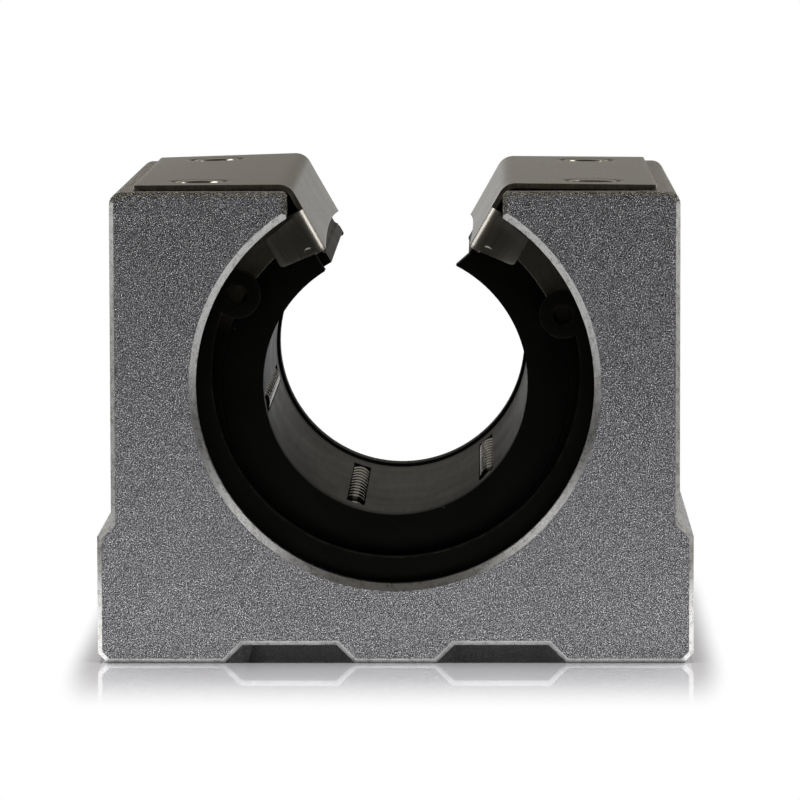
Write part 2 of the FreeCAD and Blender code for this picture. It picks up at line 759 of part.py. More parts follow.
def fold_sheet(doc, body):
    """The plate's flat top, its bend and its slanted flange, without the end tabs."""
    sheet_thickness = "Size.plate_thickness"
    profile = sketch_on(body, "XZ_Plane", "plate_profile")
    add_outline(
        profile,
        [
            ("-Size.plate_edge", "Size.block_height"),
            ("-Size.rise_start", "Size.block_height"),
            plate_corner("Size.block_height + Size.plate_rise", "0"),
            flange_point("Size.flange_reach", "0"),
            flange_point("Size.flange_reach", sheet_thickness),
            plate_corner(f"{PLATE_TOP} + Size.plate_rise", sheet_thickness),
            ("-Size.rise_start", PLATE_TOP),
            ("-Size.plate_edge", PLATE_TOP),
        ],
    )
    folded = extrude(body, "Pad", "plate_pad", profile, "Size.plate_length")
    doc.recompute()

    for name, level, radius in (
        ("outer_bend", PLATE_TOP, "Size.bend_radius"),
        ("inner_bend", "Size.block_height", f"Size.bend_radius - {sheet_thickness}"),
    ):
        height = worked_out(body, f"{level} + Size.plate_rise")
        edges = edges_where(folded, lambda edge: lies_along_shaft(edge, height))
        folded = ease_edges(body, "Fillet", name, folded, edges, radius)
        doc.recompute()


def lies_along_shaft(edge, height):
    """Does a straight edge run along the shaft at this height?"""
    return runs_along(edge, FreeCAD.Vector(0, 1, 0)) and near(edge.CenterOfMass.z, height)


def add_tabs(body):
    """The flange's full-length strip up to the folds, and a tab across each end of it."""
    sheet_thickness = "Size.plate_thickness"
    strip = sketch_on(body, "XZ_Plane", "fold_strip")
    strip_ends = ("Size.tab_reach", "Size.flange_reach")
    corners = [
        flange_point(strip_ends[0], "0"),
        flange_point(strip_ends[0], sheet_thickness),
        flange_point(strip_ends[1], sheet_thickness),
        flange_point(strip_ends[1], "0"),
    ]
    add_outline(strip, corners)
    extrude(body, "Pad", "fold_pad", strip, f"2 * {TAB_FACE}")

    bow = sketch_on(body, "YZ_Plane", "bow_outline")
    add_bow(bow)
    extrude(body, "Pocket", "bow_cut", bow)

    tab = sketch_on(body, "XZ_Plane", "tab_outline", TAB_FACE)
    far_side = f"{sheet_thickness} - Size.tab_width"
    add_outline(
        tab,
        [
            flange_point("Size.tab_reach", sheet_thickness),
            flange_point("Size.flange_reach", sheet_thickness),
            flange_point("Size.flange_reach + Size.tab_taper", far_side),
            flange_point("Size.tab_reach - Size.tab_taper", far_side),
        ],
    )
    tab_pad = extrude(body, "Pad", "tab_pad", tab, sheet_thickness, "One side", True)
    return mirror(body, "rear_tab", tab_pad, "XZ_Plane")


def round_tabs(doc, body, tabs):
    """Round the folds between flange and tabs, and the far corners of the tabs."""
    fold_across, fold_up = flange_point("Size.tab_reach", "Size.plate_thickness")
    fold = FreeCAD.Vector(worked_out(body, fold_across), 0, worked_out(body, fold_up))
    slope = math.radians(worked_out(body, "Size.slot_half_angle"))
    down_flange = FreeCAD.Vector(math.sin(slope), 0, -math.cos(slope))
    tab_face = worked_out(body, TAB_FACE)
    width = worked_out(body, "Size.tab_width - Size.plate_thickness")

    def from_flange(edge):
        offset = edge.CenterOfMass - fold
        offset.y = 0
        return offset.cross(down_flange).Length

    def on_fold(edge):
        at_end = near(abs(edge.CenterOfMass.y), tab_face)
        return runs_along(edge, down_flange) and at_end and near(from_flange(edge), 0)

    def at_far_corner(edge):
        across_tab = runs_along(edge, FreeCAD.Vector(0, 1, 0)) and edge.Length < tab_face
        return across_tab and edge.CenterOfMass.z < fold.z and from_flange(edge) > width

    folds = edges_where(tabs, on_fold)
    rounded = ease_edges(body, "Fillet", "fold_fillet", tabs, folds, "Size.fold_radius")
    doc.recompute()
    corners = edges_where(rounded, at_far_corner)
    ease_edges(body, "Fillet", "tab_corners", rounded, corners, "Size.tab_radius")
    doc.recompute()


def cover_plate(doc):
    """The left cover plate: folded sheet with a slanted flange and a tab at each end."""
    body = new_body(doc, "retaining_plate_left")
    fold_sheet(doc, body)
    tabs = add_tabs(body)
    doc.recompute()
    round_tabs(doc, body, tabs)

    holes = sketch_on(body, "XY_Plane", "plate_holes", PLATE_TOP)
    for across, along in hole_centres("Size.screw_spacing_x", "Size.screw_spacing_y"):
        if worked_out(body, across) < 0:
            add_circle(holes, across, along, "Size.shank_radius")
    doc.recompute()
    hole = drill(body, "plate_drill", holes, "2 * Size.shank_radius")
    countersink(hole, "2 * (Size.head_radius + Size.screw_gap)")
    return body


def add_bow(sketch):
    """The outline that cuts the flange's lower edge back in an arc between the tabs."""
    half = "(Size.sleeve_length / 2 - Size.fold_radius)"
    _, edge = flange_point("Size.flange_reach", "0")
    foot = f"{edge} - 2 * Size.plate_thickness"
    radius = f"({half}^2 + Size.flange_bow^2) / (2 * Size.flange_bow)"
    reach = worked_out(sketch, half)
    level = worked_out(sketch, edge)
    bottom = worked_out(sketch, foot)
    crown = FreeCAD.Vector(0, level + worked_out(sketch, "Size.flange_bow"), 0)
    corners = [
        FreeCAD.Vector(reach, level, 0),
        FreeCAD.Vector(-reach, level, 0),
        FreeCAD.Vector(-reach, bottom, 0),
        FreeCAD.Vector(reach, bottom, 0),
    ]
    arc = sketch.addGeometry(Part.Arc(corners[0], crown, corners[1]), False)
    sides = [
        sketch.addGeometry(Part.LineSegment(corners[number], corners[(number + 1) % 4]), False)
        for number in (1, 2, 3)
    ]
    ring = [arc, *sides]
    for number, line in enumerate(ring):
        after = ring[(number + 1) % len(ring)]
        sketch.addConstraint(Sketcher.Constraint("Coincident", line, 2, after, 1))
    pin_point(sketch, sides[0], 1, f"-{half}", edge)
    pin_point(sketch, sides[1], 1, f"-{half}", foot)
    pin_point(sketch, sides[2], 1, half, foot)
    pin_point(sketch, sides[2], 2, half, edge)
    bind(sketch, Sketcher.Constraint("Radius", arc, worked_out(sketch, radius)), radius)


def plate_screws(doc):
    """Four countersunk screws with a cross recess, one group of separate solids."""
    sheet = doc.Size
    pattern = doc.addObject("PartDesign::Body", "screw_pattern")
    profile = sketch_on(pattern, "YZ_Plane", "screw_profile")
    neck = "Size.shank_radius - Size.head_radius"
    add_outline(
        profile,
        [
            ("0", "0"),
            ("Size.head_radius", "0"),
            ("Size.shank_radius", neck),
            ("Size.shank_radius", "-Size.screw_length"),
            ("0", "-Size.screw_length"),
        ],
    )
    turned = pattern.newObject("PartDesign::Revolution", "screw_turning")
    turned.Profile = profile
    turned.ReferenceAxis = (origin_feature(pattern, "Z_Axis"), [""])
    turned.Angle = FULL_TURN
    cross = sketch_on(pattern, "XY_Plane", "cross_outline")
    arm = "Size.cross_width / 2"
    reach = "Size.cross_reach"
    add_outline(
        cross,
        [
            (reach, f"-{arm}"),
            (reach, arm),
            (arm, arm),
            (arm, reach),
            (f"-{arm}", reach),
            (f"-{arm}", arm),
            (f"-{reach}", arm),
            (f"-{reach}", f"-{arm}"),
            (f"-{arm}", f"-{arm}"),
            (f"-{arm}", f"-{reach}"),
            (arm, f"-{reach}"),
            (arm, f"-{arm}"),
        ],
    )
    extrude(pattern, "Pocket", "cross_recess", cross, "Size.cross_depth", "One side")
    doc.recompute()

    top = worked_out(sheet, "Size.block_height + Size.plate_thickness")
    upright = FreeCAD.Vector(0, 0, 1)
    copies = []
    for number, (across, along) in enumerate(
        hole_centres("Size.screw_spacing_x", "Size.screw_spacing_y")
    ):
        place = FreeCAD.Vector(worked_out(sheet, across), worked_out(sheet, along), top)
        copy = pattern.Shape.copy()
        copy.Placement = FreeCAD.Placement(place, FreeCAD.Rotation(upright, 20 + 35 * number))
        copies.append(copy)
    group = doc.addObject("Part::Feature", "plate_screws")
    group.Label = "plate_screws"
    group.Shape = Part.makeCompound(copies)
    return group


def mirrored_plate(doc, plate):
    """The right cover plate, the mirror image of the left one."""
    copy = doc.addObject("Part::Mirroring", "retaining_plate_right")
    copy.Label = "retaining_plate_right"
    copy.Source = plate
    copy.Base = FreeCAD.Vector(0, 0, 0)
    copy.Normal = FreeCAD.Vector(1, 0, 0)
    return copy


# --- The assembly ----------------------------------------------------------------------------


def build(doc):
    """Make every sub-part and return those that are written out."""
    left_plate = cover_plate(doc)
    parts = [
        bearing_block(doc),
        left_plate,
        mirrored_plate(doc, left_plate),
        plate_screws(doc),
        outer_sleeve(doc),
        ball_retainer(doc),
    ]
    for end, yaw in (("front", 0), ("rear", 180)):
        parts.append(snap_ring(doc, f"snap_ring_{end}", yaw))
        parts.append(end_seal(doc, f"seal_{end}", yaw))
    parts += add_ball_rows(doc)
    doc.recompute()
    return parts


def check(doc, parts):
    """Stop if any object failed, or a sub-part's shape is missing or broken."""
    for item in doc.Objects:
        if "Invalid" in item.State or "Error" in item.State:
            raise RuntimeError(f"{item.Label} did not compute: {item.State}")
    for part in parts:
        if part.Shape.isNull() or not part.Shape.isValid() or not part.Shape.Solids:
            raise RuntimeError(f"{part.Label} has no valid solid")


def main():
    os.makedirs("parts", exist_ok=True)
    doc = FreeCAD.newDocument("linear_bearing_block")
    make_sheet(doc)
    parts = build(doc)
    check(doc, parts)
    for part in parts:
        part.Shape.exportStep(os.path.join("parts", f"{part.Label}.step"))


main()
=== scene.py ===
"""Studio scene of an open linear bearing block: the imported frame, dressed piece by piece."""

import json
import logging
import math
from collections.abc import Callable, Sequence
from dataclasses import dataclass
from enum import Enum, IntEnum

import bpy
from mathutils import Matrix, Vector

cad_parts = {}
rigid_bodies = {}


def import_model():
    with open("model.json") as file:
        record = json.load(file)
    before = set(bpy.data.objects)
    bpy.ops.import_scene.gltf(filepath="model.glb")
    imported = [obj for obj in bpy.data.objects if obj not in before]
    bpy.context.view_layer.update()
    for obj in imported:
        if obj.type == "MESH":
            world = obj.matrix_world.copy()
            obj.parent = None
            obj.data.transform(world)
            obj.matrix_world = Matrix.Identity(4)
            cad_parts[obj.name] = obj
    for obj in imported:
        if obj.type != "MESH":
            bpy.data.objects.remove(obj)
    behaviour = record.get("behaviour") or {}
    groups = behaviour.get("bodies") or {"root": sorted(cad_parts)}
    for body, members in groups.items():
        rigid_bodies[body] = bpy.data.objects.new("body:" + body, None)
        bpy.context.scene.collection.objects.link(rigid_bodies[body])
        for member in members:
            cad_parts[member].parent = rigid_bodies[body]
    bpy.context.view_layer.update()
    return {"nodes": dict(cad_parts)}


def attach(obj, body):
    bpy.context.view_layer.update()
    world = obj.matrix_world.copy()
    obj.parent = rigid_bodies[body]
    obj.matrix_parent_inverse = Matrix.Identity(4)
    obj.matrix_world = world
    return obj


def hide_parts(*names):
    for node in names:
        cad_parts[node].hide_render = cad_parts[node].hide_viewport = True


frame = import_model()

MM = 0.001
SLOT_SLOPE = 29.4  # degrees between the slot's faces and upright
AXIS_HEIGHT = 42.0  # millimetres from the mounting face to the shaft's axis
LOG = logging.getLogger("bearing_block_scene")
ROOT_BODY = "root"

Colour = tuple[float, float, float]
Point = tuple[float, float, float]


# --- Shader graphs ---------------------------------------------------------------------------


class Signal:
    """A node's output that takes part in arithmetic by adding Math nodes."""

    def __init__(self, graph: "Graph", socket: bpy.types.NodeSocket) -> None:
        """Wrap one output socket of a graph."""
        self.graph = graph
        self.socket = socket

    def _math(self, operation: str, *values: "Signal | float", clamp: bool = False) -> "Signal":
        """Add one Math node.

        Args:
            operation: what the node does.
            values: its inputs, in order.
            clamp: whether the result is held between 0 and 1.

        Returns:
            The node's result.
        """
        settings = {"operation": operation, "use_clamp": clamp}
        return self.graph.out("ShaderNodeMath", settings, dict(enumerate(values)))

    def __add__(self, other: "Signal | float") -> "Signal":
        """Sum with a signal or a number."""
        return self._math("ADD", self, other)

    __radd__ = __add__

    def __sub__(self, other: "Signal | float") -> "Signal":
        """Difference with a signal or a number."""
        return self._math("SUBTRACT", self, other)

    def __rsub__(self, other: float) -> "Signal":
        """A number less this signal."""
        return self._math("SUBTRACT", other, self)

    def __mul__(self, other: "Signal | float") -> "Signal":
        """Product with a signal or a number."""
        return self._math("MULTIPLY", self, other)

    __rmul__ = __mul__

    def above(self, low: float, high: float) -> "Signal":
        """Step smoothly from 0 to 1.

        Args:
            low: the value that gives 0.
            high: the value that gives 1.

        Returns:
            The stepped signal.
        """
        settings = {"interpolation_type": "SMOOTHSTEP"}
        inputs = {"Value": self, "From Min": low, "From Max": high}
        return self.graph.out("ShaderNodeMapRange", settings, inputs, "Result")

    def clamped(self) -> "Signal":
        """This signal held between 0 and 1."""
        return self._math("ADD", self, 0.0, clamp=True)


Value = Signal | float | Sequence[float]


class Graph:
    """The node tree of one material or of the world."""

    def __init__(self, tree: bpy.types.NodeTree) -> None:
        """Empty the tree, ready for new nodes."""
        self.tree = tree
        tree.nodes.clear()

    def node(
        self, kind: str, settings: dict | None = None, inputs: dict | None = None
    ) -> bpy.types.Node:
        """Add one node: its settings first, then the values or links of its sockets.

        Args:
            kind: the node's type name.
            settings: properties of the node.
            inputs: socket name or number to a number, a colour or a Signal.

        Returns:
            The new node.
        """
        node = self.tree.nodes.new(kind)
        for name, value in (settings or {}).items():
            setattr(node, name, value)
        for name, value in (inputs or {}).items():
            if isinstance(value, Signal):
                self.tree.links.new(value.socket, node.inputs[name])
            else:
                node.inputs[name].default_value = value
        return node

    def out(
        self,
        kind: str,
        settings: dict | None = None,
        inputs: dict | None = None,
        output: str | int = 0,
    ) -> Signal:
        """Add one node and return one of its outputs."""
        return Signal(self, self.node(kind, settings, inputs).outputs[output])

    def place(self) -> Signal:
        """The point's own Object coordinates, in metres."""
        return self.out("ShaderNodeTexCoord", output="Object")

    def vector(self, operation: str, *values: Value, output: str = "Vector") -> Signal:
        """Add one Vector Math node and return one of its outputs."""
        settings = {"operation": operation}
        return self.out("ShaderNodeVectorMath", settings, dict(enumerate(values)), output)

    def stretched(self, scale: Sequence[float], turn: Sequence[float] = (0, 0, 0)) -> Signal:
        """Object coordinates, turned and then scaled along each axis.

        Args:
            scale: the factor along X, Y and Z.
            turn: the turn about X, Y and Z, in degrees.

        Returns:
            The changed coordinates.
        """
        angles = [math.radians(angle) for angle in turn]
        inputs = {"Vector": self.place(), "Rotation": angles}
        turned = self.out("ShaderNodeMapping", inputs=inputs)
        return self.out("ShaderNodeMapping", inputs={"Vector": turned, "Scale": scale})

    def noise(
        self, scale: float, detail: float = 2.0, roughness: float = 0.5, at: Signal | None = None
    ) -> Signal:
        """Cloudy noise around 0.5.

        Args:
            scale: how many clouds fit in a metre.
            detail: how many finer layers lie over them.
            roughness: how strong the finer layers are.
            at: the coordinates, if they aren't the plain Object ones.

        Returns:
            The noise.
        """
        inputs = {
            "Vector": at or self.place(),
            "Scale": scale,
            "Detail": detail,
            "Roughness": roughness,
        }
        return self.out("ShaderNodeTexNoise", inputs=inputs)

    def specks(self, scale: float, size: float) -> Signal:
        """Small round spots.

        Args:
            scale: how many spots fit in a metre.
            size: a spot's radius, as a share of the distance between spots.

        Returns:
            1 in a spot and 0 between the spots.
        """
        inputs = {"Vector": self.place(), "Scale": scale}
        distance = self.out("ShaderNodeTexVoronoi", {"feature": "F1"}, inputs, "Distance")
        return 1.0 - distance.above(size * 0.5, size)

    def mix(self, factor: Value, first: Value, second: Value, blend: str = "MIX") -> Signal:
        """Blend two colours.

        Args:
            factor: the second colour's share.
            first: the colour at 0.
            second: the colour at 1.
            blend: the kind of blend.

        Returns:
            The blended colour.
        """
        node = self.node("ShaderNodeMix", {"data_type": "RGBA", "blend_type": blend})
        for socket, value in ((0, factor), (6, first), (7, second)):
            if isinstance(value, Signal):
                self.tree.links.new(value.socket, node.inputs[socket])
            elif isinstance(value, float | int):
                node.inputs[socket].default_value = value
            else:
                node.inputs[socket].default_value = (*value, 1.0)
        return Signal(self, node.outputs[2])

    def grey(self, level: Signal) -> Signal:
        """A grey colour from a number."""
        inputs = {"Red": level, "Green": level, "Blue": level}
        return self.out("ShaderNodeCombineColor", inputs=inputs)

    def shaded(self, colour: Colour, level: Signal) -> Signal:
        """A colour made lighter or darker by a signal around 1."""
        return self.mix(1.0, colour, self.grey(level), "MULTIPLY")

    def rays(self) -> list[Signal]:
        """Whether a ray is a camera's, a glossy surface's or a clear one's."""
        paths = self.node("ShaderNodeLightPath")
        kinds = ("Is Camera Ray", "Is Glossy Ray", "Is Transmission Ray")
        return [Signal(self, paths.outputs[kind]) for kind in kinds]

    def rounded_normal(self, radius: float) -> Signal:
        """The surface's normal with its sharp edges rounded by a radius in metres."""
        return self.out("ShaderNodeBevel", {"samples": 6}, {"Radius": radius}, "Normal")

    def edges(self, radius: float) -> Signal:
        """Find the sharp edges.

        Args:
            radius: how far an edge reaches, in metres.

        Returns:
            1 on sharp edges and 0 on smooth ground.
        """
        plain = self.out("ShaderNodeNewGeometry", output="True Normal")
        alike = self.vector("DOT_PRODUCT", self.rounded_normal(radius), plain, output="Value")
        return (1.0 - alike).above(0.002, 0.12)

    def bump(
        self, height: Signal, strength: float, distance: float, normal: Signal | None = None
    ) -> Signal:
        """Turn a height field into normals.

        Args:
            height: the field.
            strength: how much of it shows.
            distance: its depth in metres.
            normal: the normals under it, if they aren't the surface's own.

        Returns:
            The normals.
        """
        inputs = {"Height": height, "Strength": strength, "Distance": distance}
        if normal is not None:
            inputs["Normal"] = normal
        return self.out("ShaderNodeBump", inputs=inputs)

    def surface(self, **sockets: Value) -> None:
        """End the graph with a Principled shader.

        Args:
            sockets: socket names with underscores for spaces, and their values or links.
        """
        inputs = {name.replace("_", " "): value for name, value in sockets.items()}
        for name in ("Base Color", "Specular Tint"):
            if name in inputs and not isinstance(inputs[name], Signal):
                inputs[name] = (*inputs[name], 1.0)
        shader = self.out("ShaderNodeBsdfPrincipled", inputs=inputs)
        self.node("ShaderNodeOutputMaterial", inputs={"Surface": shader})


def new_material(name: str) -> tuple[bpy.types.Material, Graph]:
    """Add a material with an empty node tree.

    Args:
        name: the material's name.

    Returns:
        The material and its graph.
    """
    material = bpy.data.materials.new(name)
    material.use_nodes = True
    return material, Graph(material.node_tree)


# --- Finishes --------------------------------------------------------------------------------


class Finish:
    """A surface finish. Each kind has a name and lays its own nodes."""

    name: str

    def _lay(self, graph: Graph) -> None:
        """Lay the finish's nodes in an empty graph."""
        raise NotImplementedError

    def material(self) -> bpy.types.Material:
        """The finish as a new material."""
        material, graph = new_material(self.name)
        self._lay(graph)
        return material


@dataclass(frozen=True)
class BlastedAluminium(Finish):
    """Bead-blasted and clear-anodised aluminium with a fine sparkling grain."""

    name: str = "blasted_aluminium"
    colour: Colour = (0.46, 0.456, 0.482)
    grain: float = 5600.0
    roughness: float = 0.33
    edge_radius: float = 0.12 * MM
    rubbed: Colour = (0.6, 0.6, 0.59)
    fleck: Colour = (0.07, 0.065, 0.06)

    def _lay(self, graph: Graph) -> None:
        """Lay the finish's nodes.

        Args:
            graph: the new material's empty graph.
        """
        fine = graph.noise(self.grain, 1.5, 0.6)
        coarse = graph.noise(self.grain * 0.3, 2.0)
        crystal = graph.noise(self.grain * 1.15, 0.5).above(0.57, 0.66)
        clouds = graph.noise(34.0, 3.0)
        flecks = graph.specks(420.0, 0.1) * graph.noise(30.0, 1.0).above(0.5, 0.56)
        tone = 0.02 + 1.25 * fine.above(0.41, 0.68) + 0.2 * (coarse + clouds) + 1.8 * crystal
        edge = graph.edges(self.edge_radius) * graph.noise(420.0, 3.0).above(0.3, 0.6)
        colour = graph.mix(edge * 0.6, graph.shaded(self.colour, tone), self.rubbed)
        colour = graph.mix(flecks * 0.7, colour, self.fleck)
        rounded = graph.rounded_normal(self.edge_radius)
        graph.surface(
            Base_Color=colour,
            Metallic=1.0,
            Roughness=self.roughness + 0.1 * (coarse - 0.5) - 0.14 * crystal,
            Normal=graph.bump(fine + 0.2 * coarse, 1.0, 0.28 * MM, rounded),
        )


@dataclass(frozen=True)
class MachinedChamfer(Finish):
    """Bright machined chamfers of the block, lightly frosted and a little ragged."""

    name: str = "machined_chamfer"
    colour: Colour = (0.88, 0.87, 0.85)
    roughness: float = 0.36

    def _lay(self, graph: Graph) -> None:
        """Lay the finish's nodes.

        Args:
            graph: the new material's empty graph.
        """
        frost = graph.noise(4600.0, 1.5)
        wear = graph.noise(900.0, 3.0, 0.6)
        tone = 0.55 + 0.5 * frost.above(0.3, 0.7) + 0.42 * wear.above(0.3, 0.6)
        graph.surface(
            Base_Color=graph.shaded(self.colour, tone),
            Metallic=1.0,
            Roughness=self.roughness + 0.14 * (wear - 0.5),
            Normal=graph.bump(frost, 0.3, 0.1 * MM, graph.rounded_normal(0.1 * MM)),
        )


@dataclass(frozen=True)
class SheetSteel(Finish):
    """Rolled sheet with faint rolling lines, smears and small specks."""

    name: str = "sheet_steel"
    colour: Colour = (0.21, 0.196, 0.168)
    edge_tint: Colour = (0.0, 0.0, 0.0)
    roughness: float = 0.14
    metallic: float = 0.62
    lines: float = 0.07
    speck: Colour = (0.05, 0.045, 0.04)

    def _lay(self, graph: Graph) -> None:
        """Lay the finish's nodes.

        Args:
            graph: the new material's empty graph.
        """
        rolled = graph.noise(1.0, 3.0, 0.6, graph.stretched((5200.0, 90.0, 5200.0)))
        smears = graph.noise(70.0, 4.0, 0.6)
        specks = graph.specks(330.0, 0.07) * graph.noise(45.0, 1.0).above(0.52, 0.6)
        tone = 1.0 + 0.12 * (rolled - 0.5) + 0.06 * (smears - 0.5)
        colour = graph.mix(specks * 0.6, graph.shaded(self.colour, tone), self.speck)
        roughness = self.roughness + 0.07 * (smears - 0.5) + 0.06 * (rolled - 0.5)
        graph.surface(
            Base_Color=colour,
            Metallic=self.metallic,
            Specular_IOR_Level=0.0,
            Roughness=roughness + 0.3 * specks,
            Specular_Tint=self.edge_tint,
            Normal=graph.bump(rolled, self.lines, 0.02 * MM),
        )


@dataclass(frozen=True)
class BrushedTab(Finish):
    """The plate's tabs: sheet steel brushed satin along the slot face."""

    side: "Side"
    colour: Colour = (0.52, 0.495, 0.45)

    @property
    def name(self) -> str:
        """The finish's name."""
        return f"brushed_tab_{self.side.name.lower()}"

    def _lay(self, graph: Graph) -> None:
        """Lay the finish's nodes.

        Args:
            graph: the new material's empty graph.
        """
        turn = (0.0, -self.side.value * SLOT_SLOPE, 0.0)
        strokes = graph.noise(1.0, 3.0, 0.65, graph.stretched((5200.0, 900.0, 150.0), turn))
        broad = graph.noise(1.0, 2.0, 0.5, graph.stretched((1500.0, 400.0, 60.0), turn))
        smears = graph.noise(160.0, 3.0)
        tone = 0.35 + 0.75 * strokes + 0.35 * broad + 0.2 * smears
        graph.surface(
            Base_Color=graph.shaded(self.colour, tone),
            Metallic=1.0,
            Roughness=0.4 + 0.14 * (broad - 0.5),
            Normal=graph.bump(strokes, 0.45, 0.03 * MM),
        )


@dataclass(frozen=True)
class OxideSteel(Finish):
    """Dark oxidised spring steel with a rubbed, slightly brown edge."""

    name: str = "dark_oxide_steel"
    colour: Colour = (0.0075, 0.0078, 0.0062)
    edge_radius: float = 0.14 * MM
    rubbed: Colour = (0.24, 0.2, 0.155)

    def _lay(self, graph: Graph) -> None:
        """Lay the finish's nodes.

        Args:
            graph: the new material's empty graph.
        """
        grain = graph.noise(1500.0, 3.0)
        blotch = graph.noise(160.0, 3.0)
        edge = graph.edges(self.edge_radius) * graph.noise(700.0, 3.0).above(0.4, 0.62)
        tone = 0.75 + 0.5 * blotch
        colour = graph.mix(edge * 0.7, graph.shaded(self.colour, tone), self.rubbed)
        graph.surface(
            Base_Color=colour,
            Specular_IOR_Level=0.07,
            Roughness=0.45 + 0.2 * (blotch - 0.5) + 0.1 * (grain - 0.5),
            Normal=graph.bump(grain, 0.25, 0.03 * MM, graph.rounded_normal(self.edge_radius)),
        )


@dataclass(frozen=True)
class SealRubber(Finish):
    """Black moulded rubber with light dust specks."""

    name: str = "seal_rubber"
    colour: Colour = (0.0065, 0.007, 0.0058)
    speck: Colour = (0.2, 0.19, 0.17)

    def _lay(self, graph: Graph) -> None:
        """Lay the finish's nodes.

        Args:
            graph: the new material's empty graph.
        """
        skin = graph.noise(900.0, 4.0, 0.6)
        dust = graph.specks(420.0, 0.1) * graph.noise(60.0, 1.0).above(0.55, 0.64)
        bloom = graph.noise(120.0, 3.0)
        colour = graph.shaded(self.colour, 0.7 + 0.6 * bloom)
        colour = graph.mix(dust * 0.55, colour, self.speck)
        graph.surface(
            Base_Color=colour,
            Specular_IOR_Level=0.06,
            Roughness=0.55 + 0.18 * (bloom - 0.5),
            Normal=graph.bump(skin, 0.3, 0.05 * MM, graph.rounded_normal(0.2 * MM)),
        )


@dataclass(frozen=True)
class RetainerPlastic(Finish):
    """Dark moulded plastic, worn to a faint satin along the shaft."""

    name: str = "retainer_plastic"
    colour: Colour = (0.0085, 0.0081, 0.0069)

    def _lay(self, graph: Graph) -> None:
        """Lay the finish's nodes.

        Args:
            graph: the new material's empty graph.
        """
        drag = graph.noise(1.0, 3.0, 0.6, graph.stretched((1300.0, 60.0, 1300.0)))
        skin = graph.noise(1100.0, 3.0)
        stain = graph.noise(90.0, 4.0, 0.6)
        tone = 0.8 + 0.25 * (drag - 0.5) + 0.5 * (stain - 0.3)
        graph.surface(
            Base_Color=graph.shaded(self.colour, tone),
            Specular_IOR_Level=0.16,
            Roughness=0.52 + 0.25 * (stain - 0.5) + 0.12 * (drag - 0.5),
            Normal=graph.bump(skin + drag, 0.22, 0.03 * MM, graph.rounded_normal(0.15 * MM)),
        )


@dataclass(frozen=True)
class GroundSteel(Finish):
    """Hardened and ground steel, coloured nearly black."""

    name: str = "ground_steel"
    colour: Colour = (0.026, 0.0245, 0.021)
    roughness: float = 0.42

    def _lay(self, graph: Graph) -> None:
        """Lay the finish's nodes.

        Args:
            graph: the new material's empty graph.
        """
        ground = graph.noise(1.0, 2.0, 0.5, graph.stretched((260.0, 4200.0, 260.0)))
        film = graph.noise(140.0, 3.0)
        graph.surface(
            Base_Color=graph.shaded(self.colour, 0.8 + 0.35 * film),
            Metallic=1.0,
            Roughness=self.roughness + 0.15 * (film - 0.5) + 0.1 * (ground - 0.5),
            Normal=graph.bump(ground, 0.15, 0.01 * MM, graph.rounded_normal(0.12 * MM)),
        )


@dataclass(frozen=True)
class PaintedLightSleeveEnd(Finish):
    """The sleeve's end faces: nearly black low down as painted shade, and lighter up towards the slot
    as painted light.
    """

    name: str = "rubbed_sleeve_end"
    painted_shade: Colour = (0.026, 0.0245, 0.021)
    painted_light: Colour = (0.62, 0.58, 0.49)
    # Heights over which the end faces turn from painted shade to painted light.
    painted_light_from: tuple[float, float] = (49.0 * MM, 58.0 * MM)

    def _lay(self, graph: Graph) -> None:
        """Lay the finish's nodes.

        Args:
            graph: the new material's empty graph.
        """
        # Painted light and shade: the end faces get lighter with height, towards the slot.
        parts = graph.node("ShaderNodeSeparateXYZ", inputs={0: graph.place()})
        painted_light = Signal(graph, parts.outputs["Z"]).above(*self.painted_light_from)
        strokes = graph.noise(1.0, 3.0, 0.65, graph.stretched((3200.0, 900.0, 500.0)))
        film = graph.noise(260.0, 3.0)
        colour = graph.mix(painted_light, self.painted_shade, self.painted_light)
        graph.surface(
            Base_Color=graph.mix(0.45 * film + 0.5 * strokes, colour, self.painted_shade),
            Metallic=1.0,
            Roughness=0.42 + 0.2 * (film - 0.5),
            Normal=graph.bump(strokes, 0.4, 0.03 * MM, graph.rounded_normal(0.12 * MM)),
        )


@dataclass(frozen=True)
class BallSteel(Finish):
    """Polished bearing balls under a thin film of oil."""

    name: str = "ball_steel"
    colour: Colour = (0.14, 0.135, 0.12)

    def _lay(self, graph: Graph) -> None:
        """Lay the finish's nodes.

        Args:
            graph: the new material's empty graph.
        """
        film = graph.noise(400.0, 2.0)
        graph.surface(
            Base_Color=graph.shaded(self.colour, 0.8 + 0.3 * film),
            Metallic=1.0,
            Roughness=0.12 + 0.14 * film,
            Normal=graph.bump(film, 0.05, 0.01 * MM),
        )


@dataclass(frozen=True)
class ShearedEdge(Finish):
    """The cut edge of the sheet: dull, grey-brown, streaked across its thickness."""

    name: str = "sheared_edge"
    colour: Colour = (0.5, 0.46, 0.38)

    def _lay(self, graph: Graph) -> None:
        """Lay the finish's nodes.

        Args:
            graph: the new material's empty graph.
        """
        streaks = graph.noise(1.0, 3.0, 0.6, graph.stretched((2400.0, 2400.0, 500.0)))
        graph.surface(
            Base_Color=graph.shaded(self.colour, 0.6 + 0.8 * streaks),
            Metallic=1.0,
            Roughness=0.42 + 0.25 * (streaks - 0.5),
            Normal=graph.bump(streaks, 0.5, 0.05 * MM),
        )


# --- Modelling helpers -----------------------------------------------------------------------


def new_object(name: str, data: bpy.types.ID) -> bpy.types.Object:
    """Put a new object into the scene.

    Args:
        name: the object's name.
        data: its mesh, lamp, camera or lattice.

    Returns:
        The object.
    """
    item = bpy.data.objects.new(name, data)
    bpy.context.scene.collection.objects.link(item)
    return item


def select(*pieces: bpy.types.Object) -> None:
    """Select some objects alone and make the first one active."""
    bpy.ops.object.select_all(action="DESELECT")
    for piece in pieces:
        piece.select_set(True)
    bpy.context.view_layer.objects.active = pieces[0]


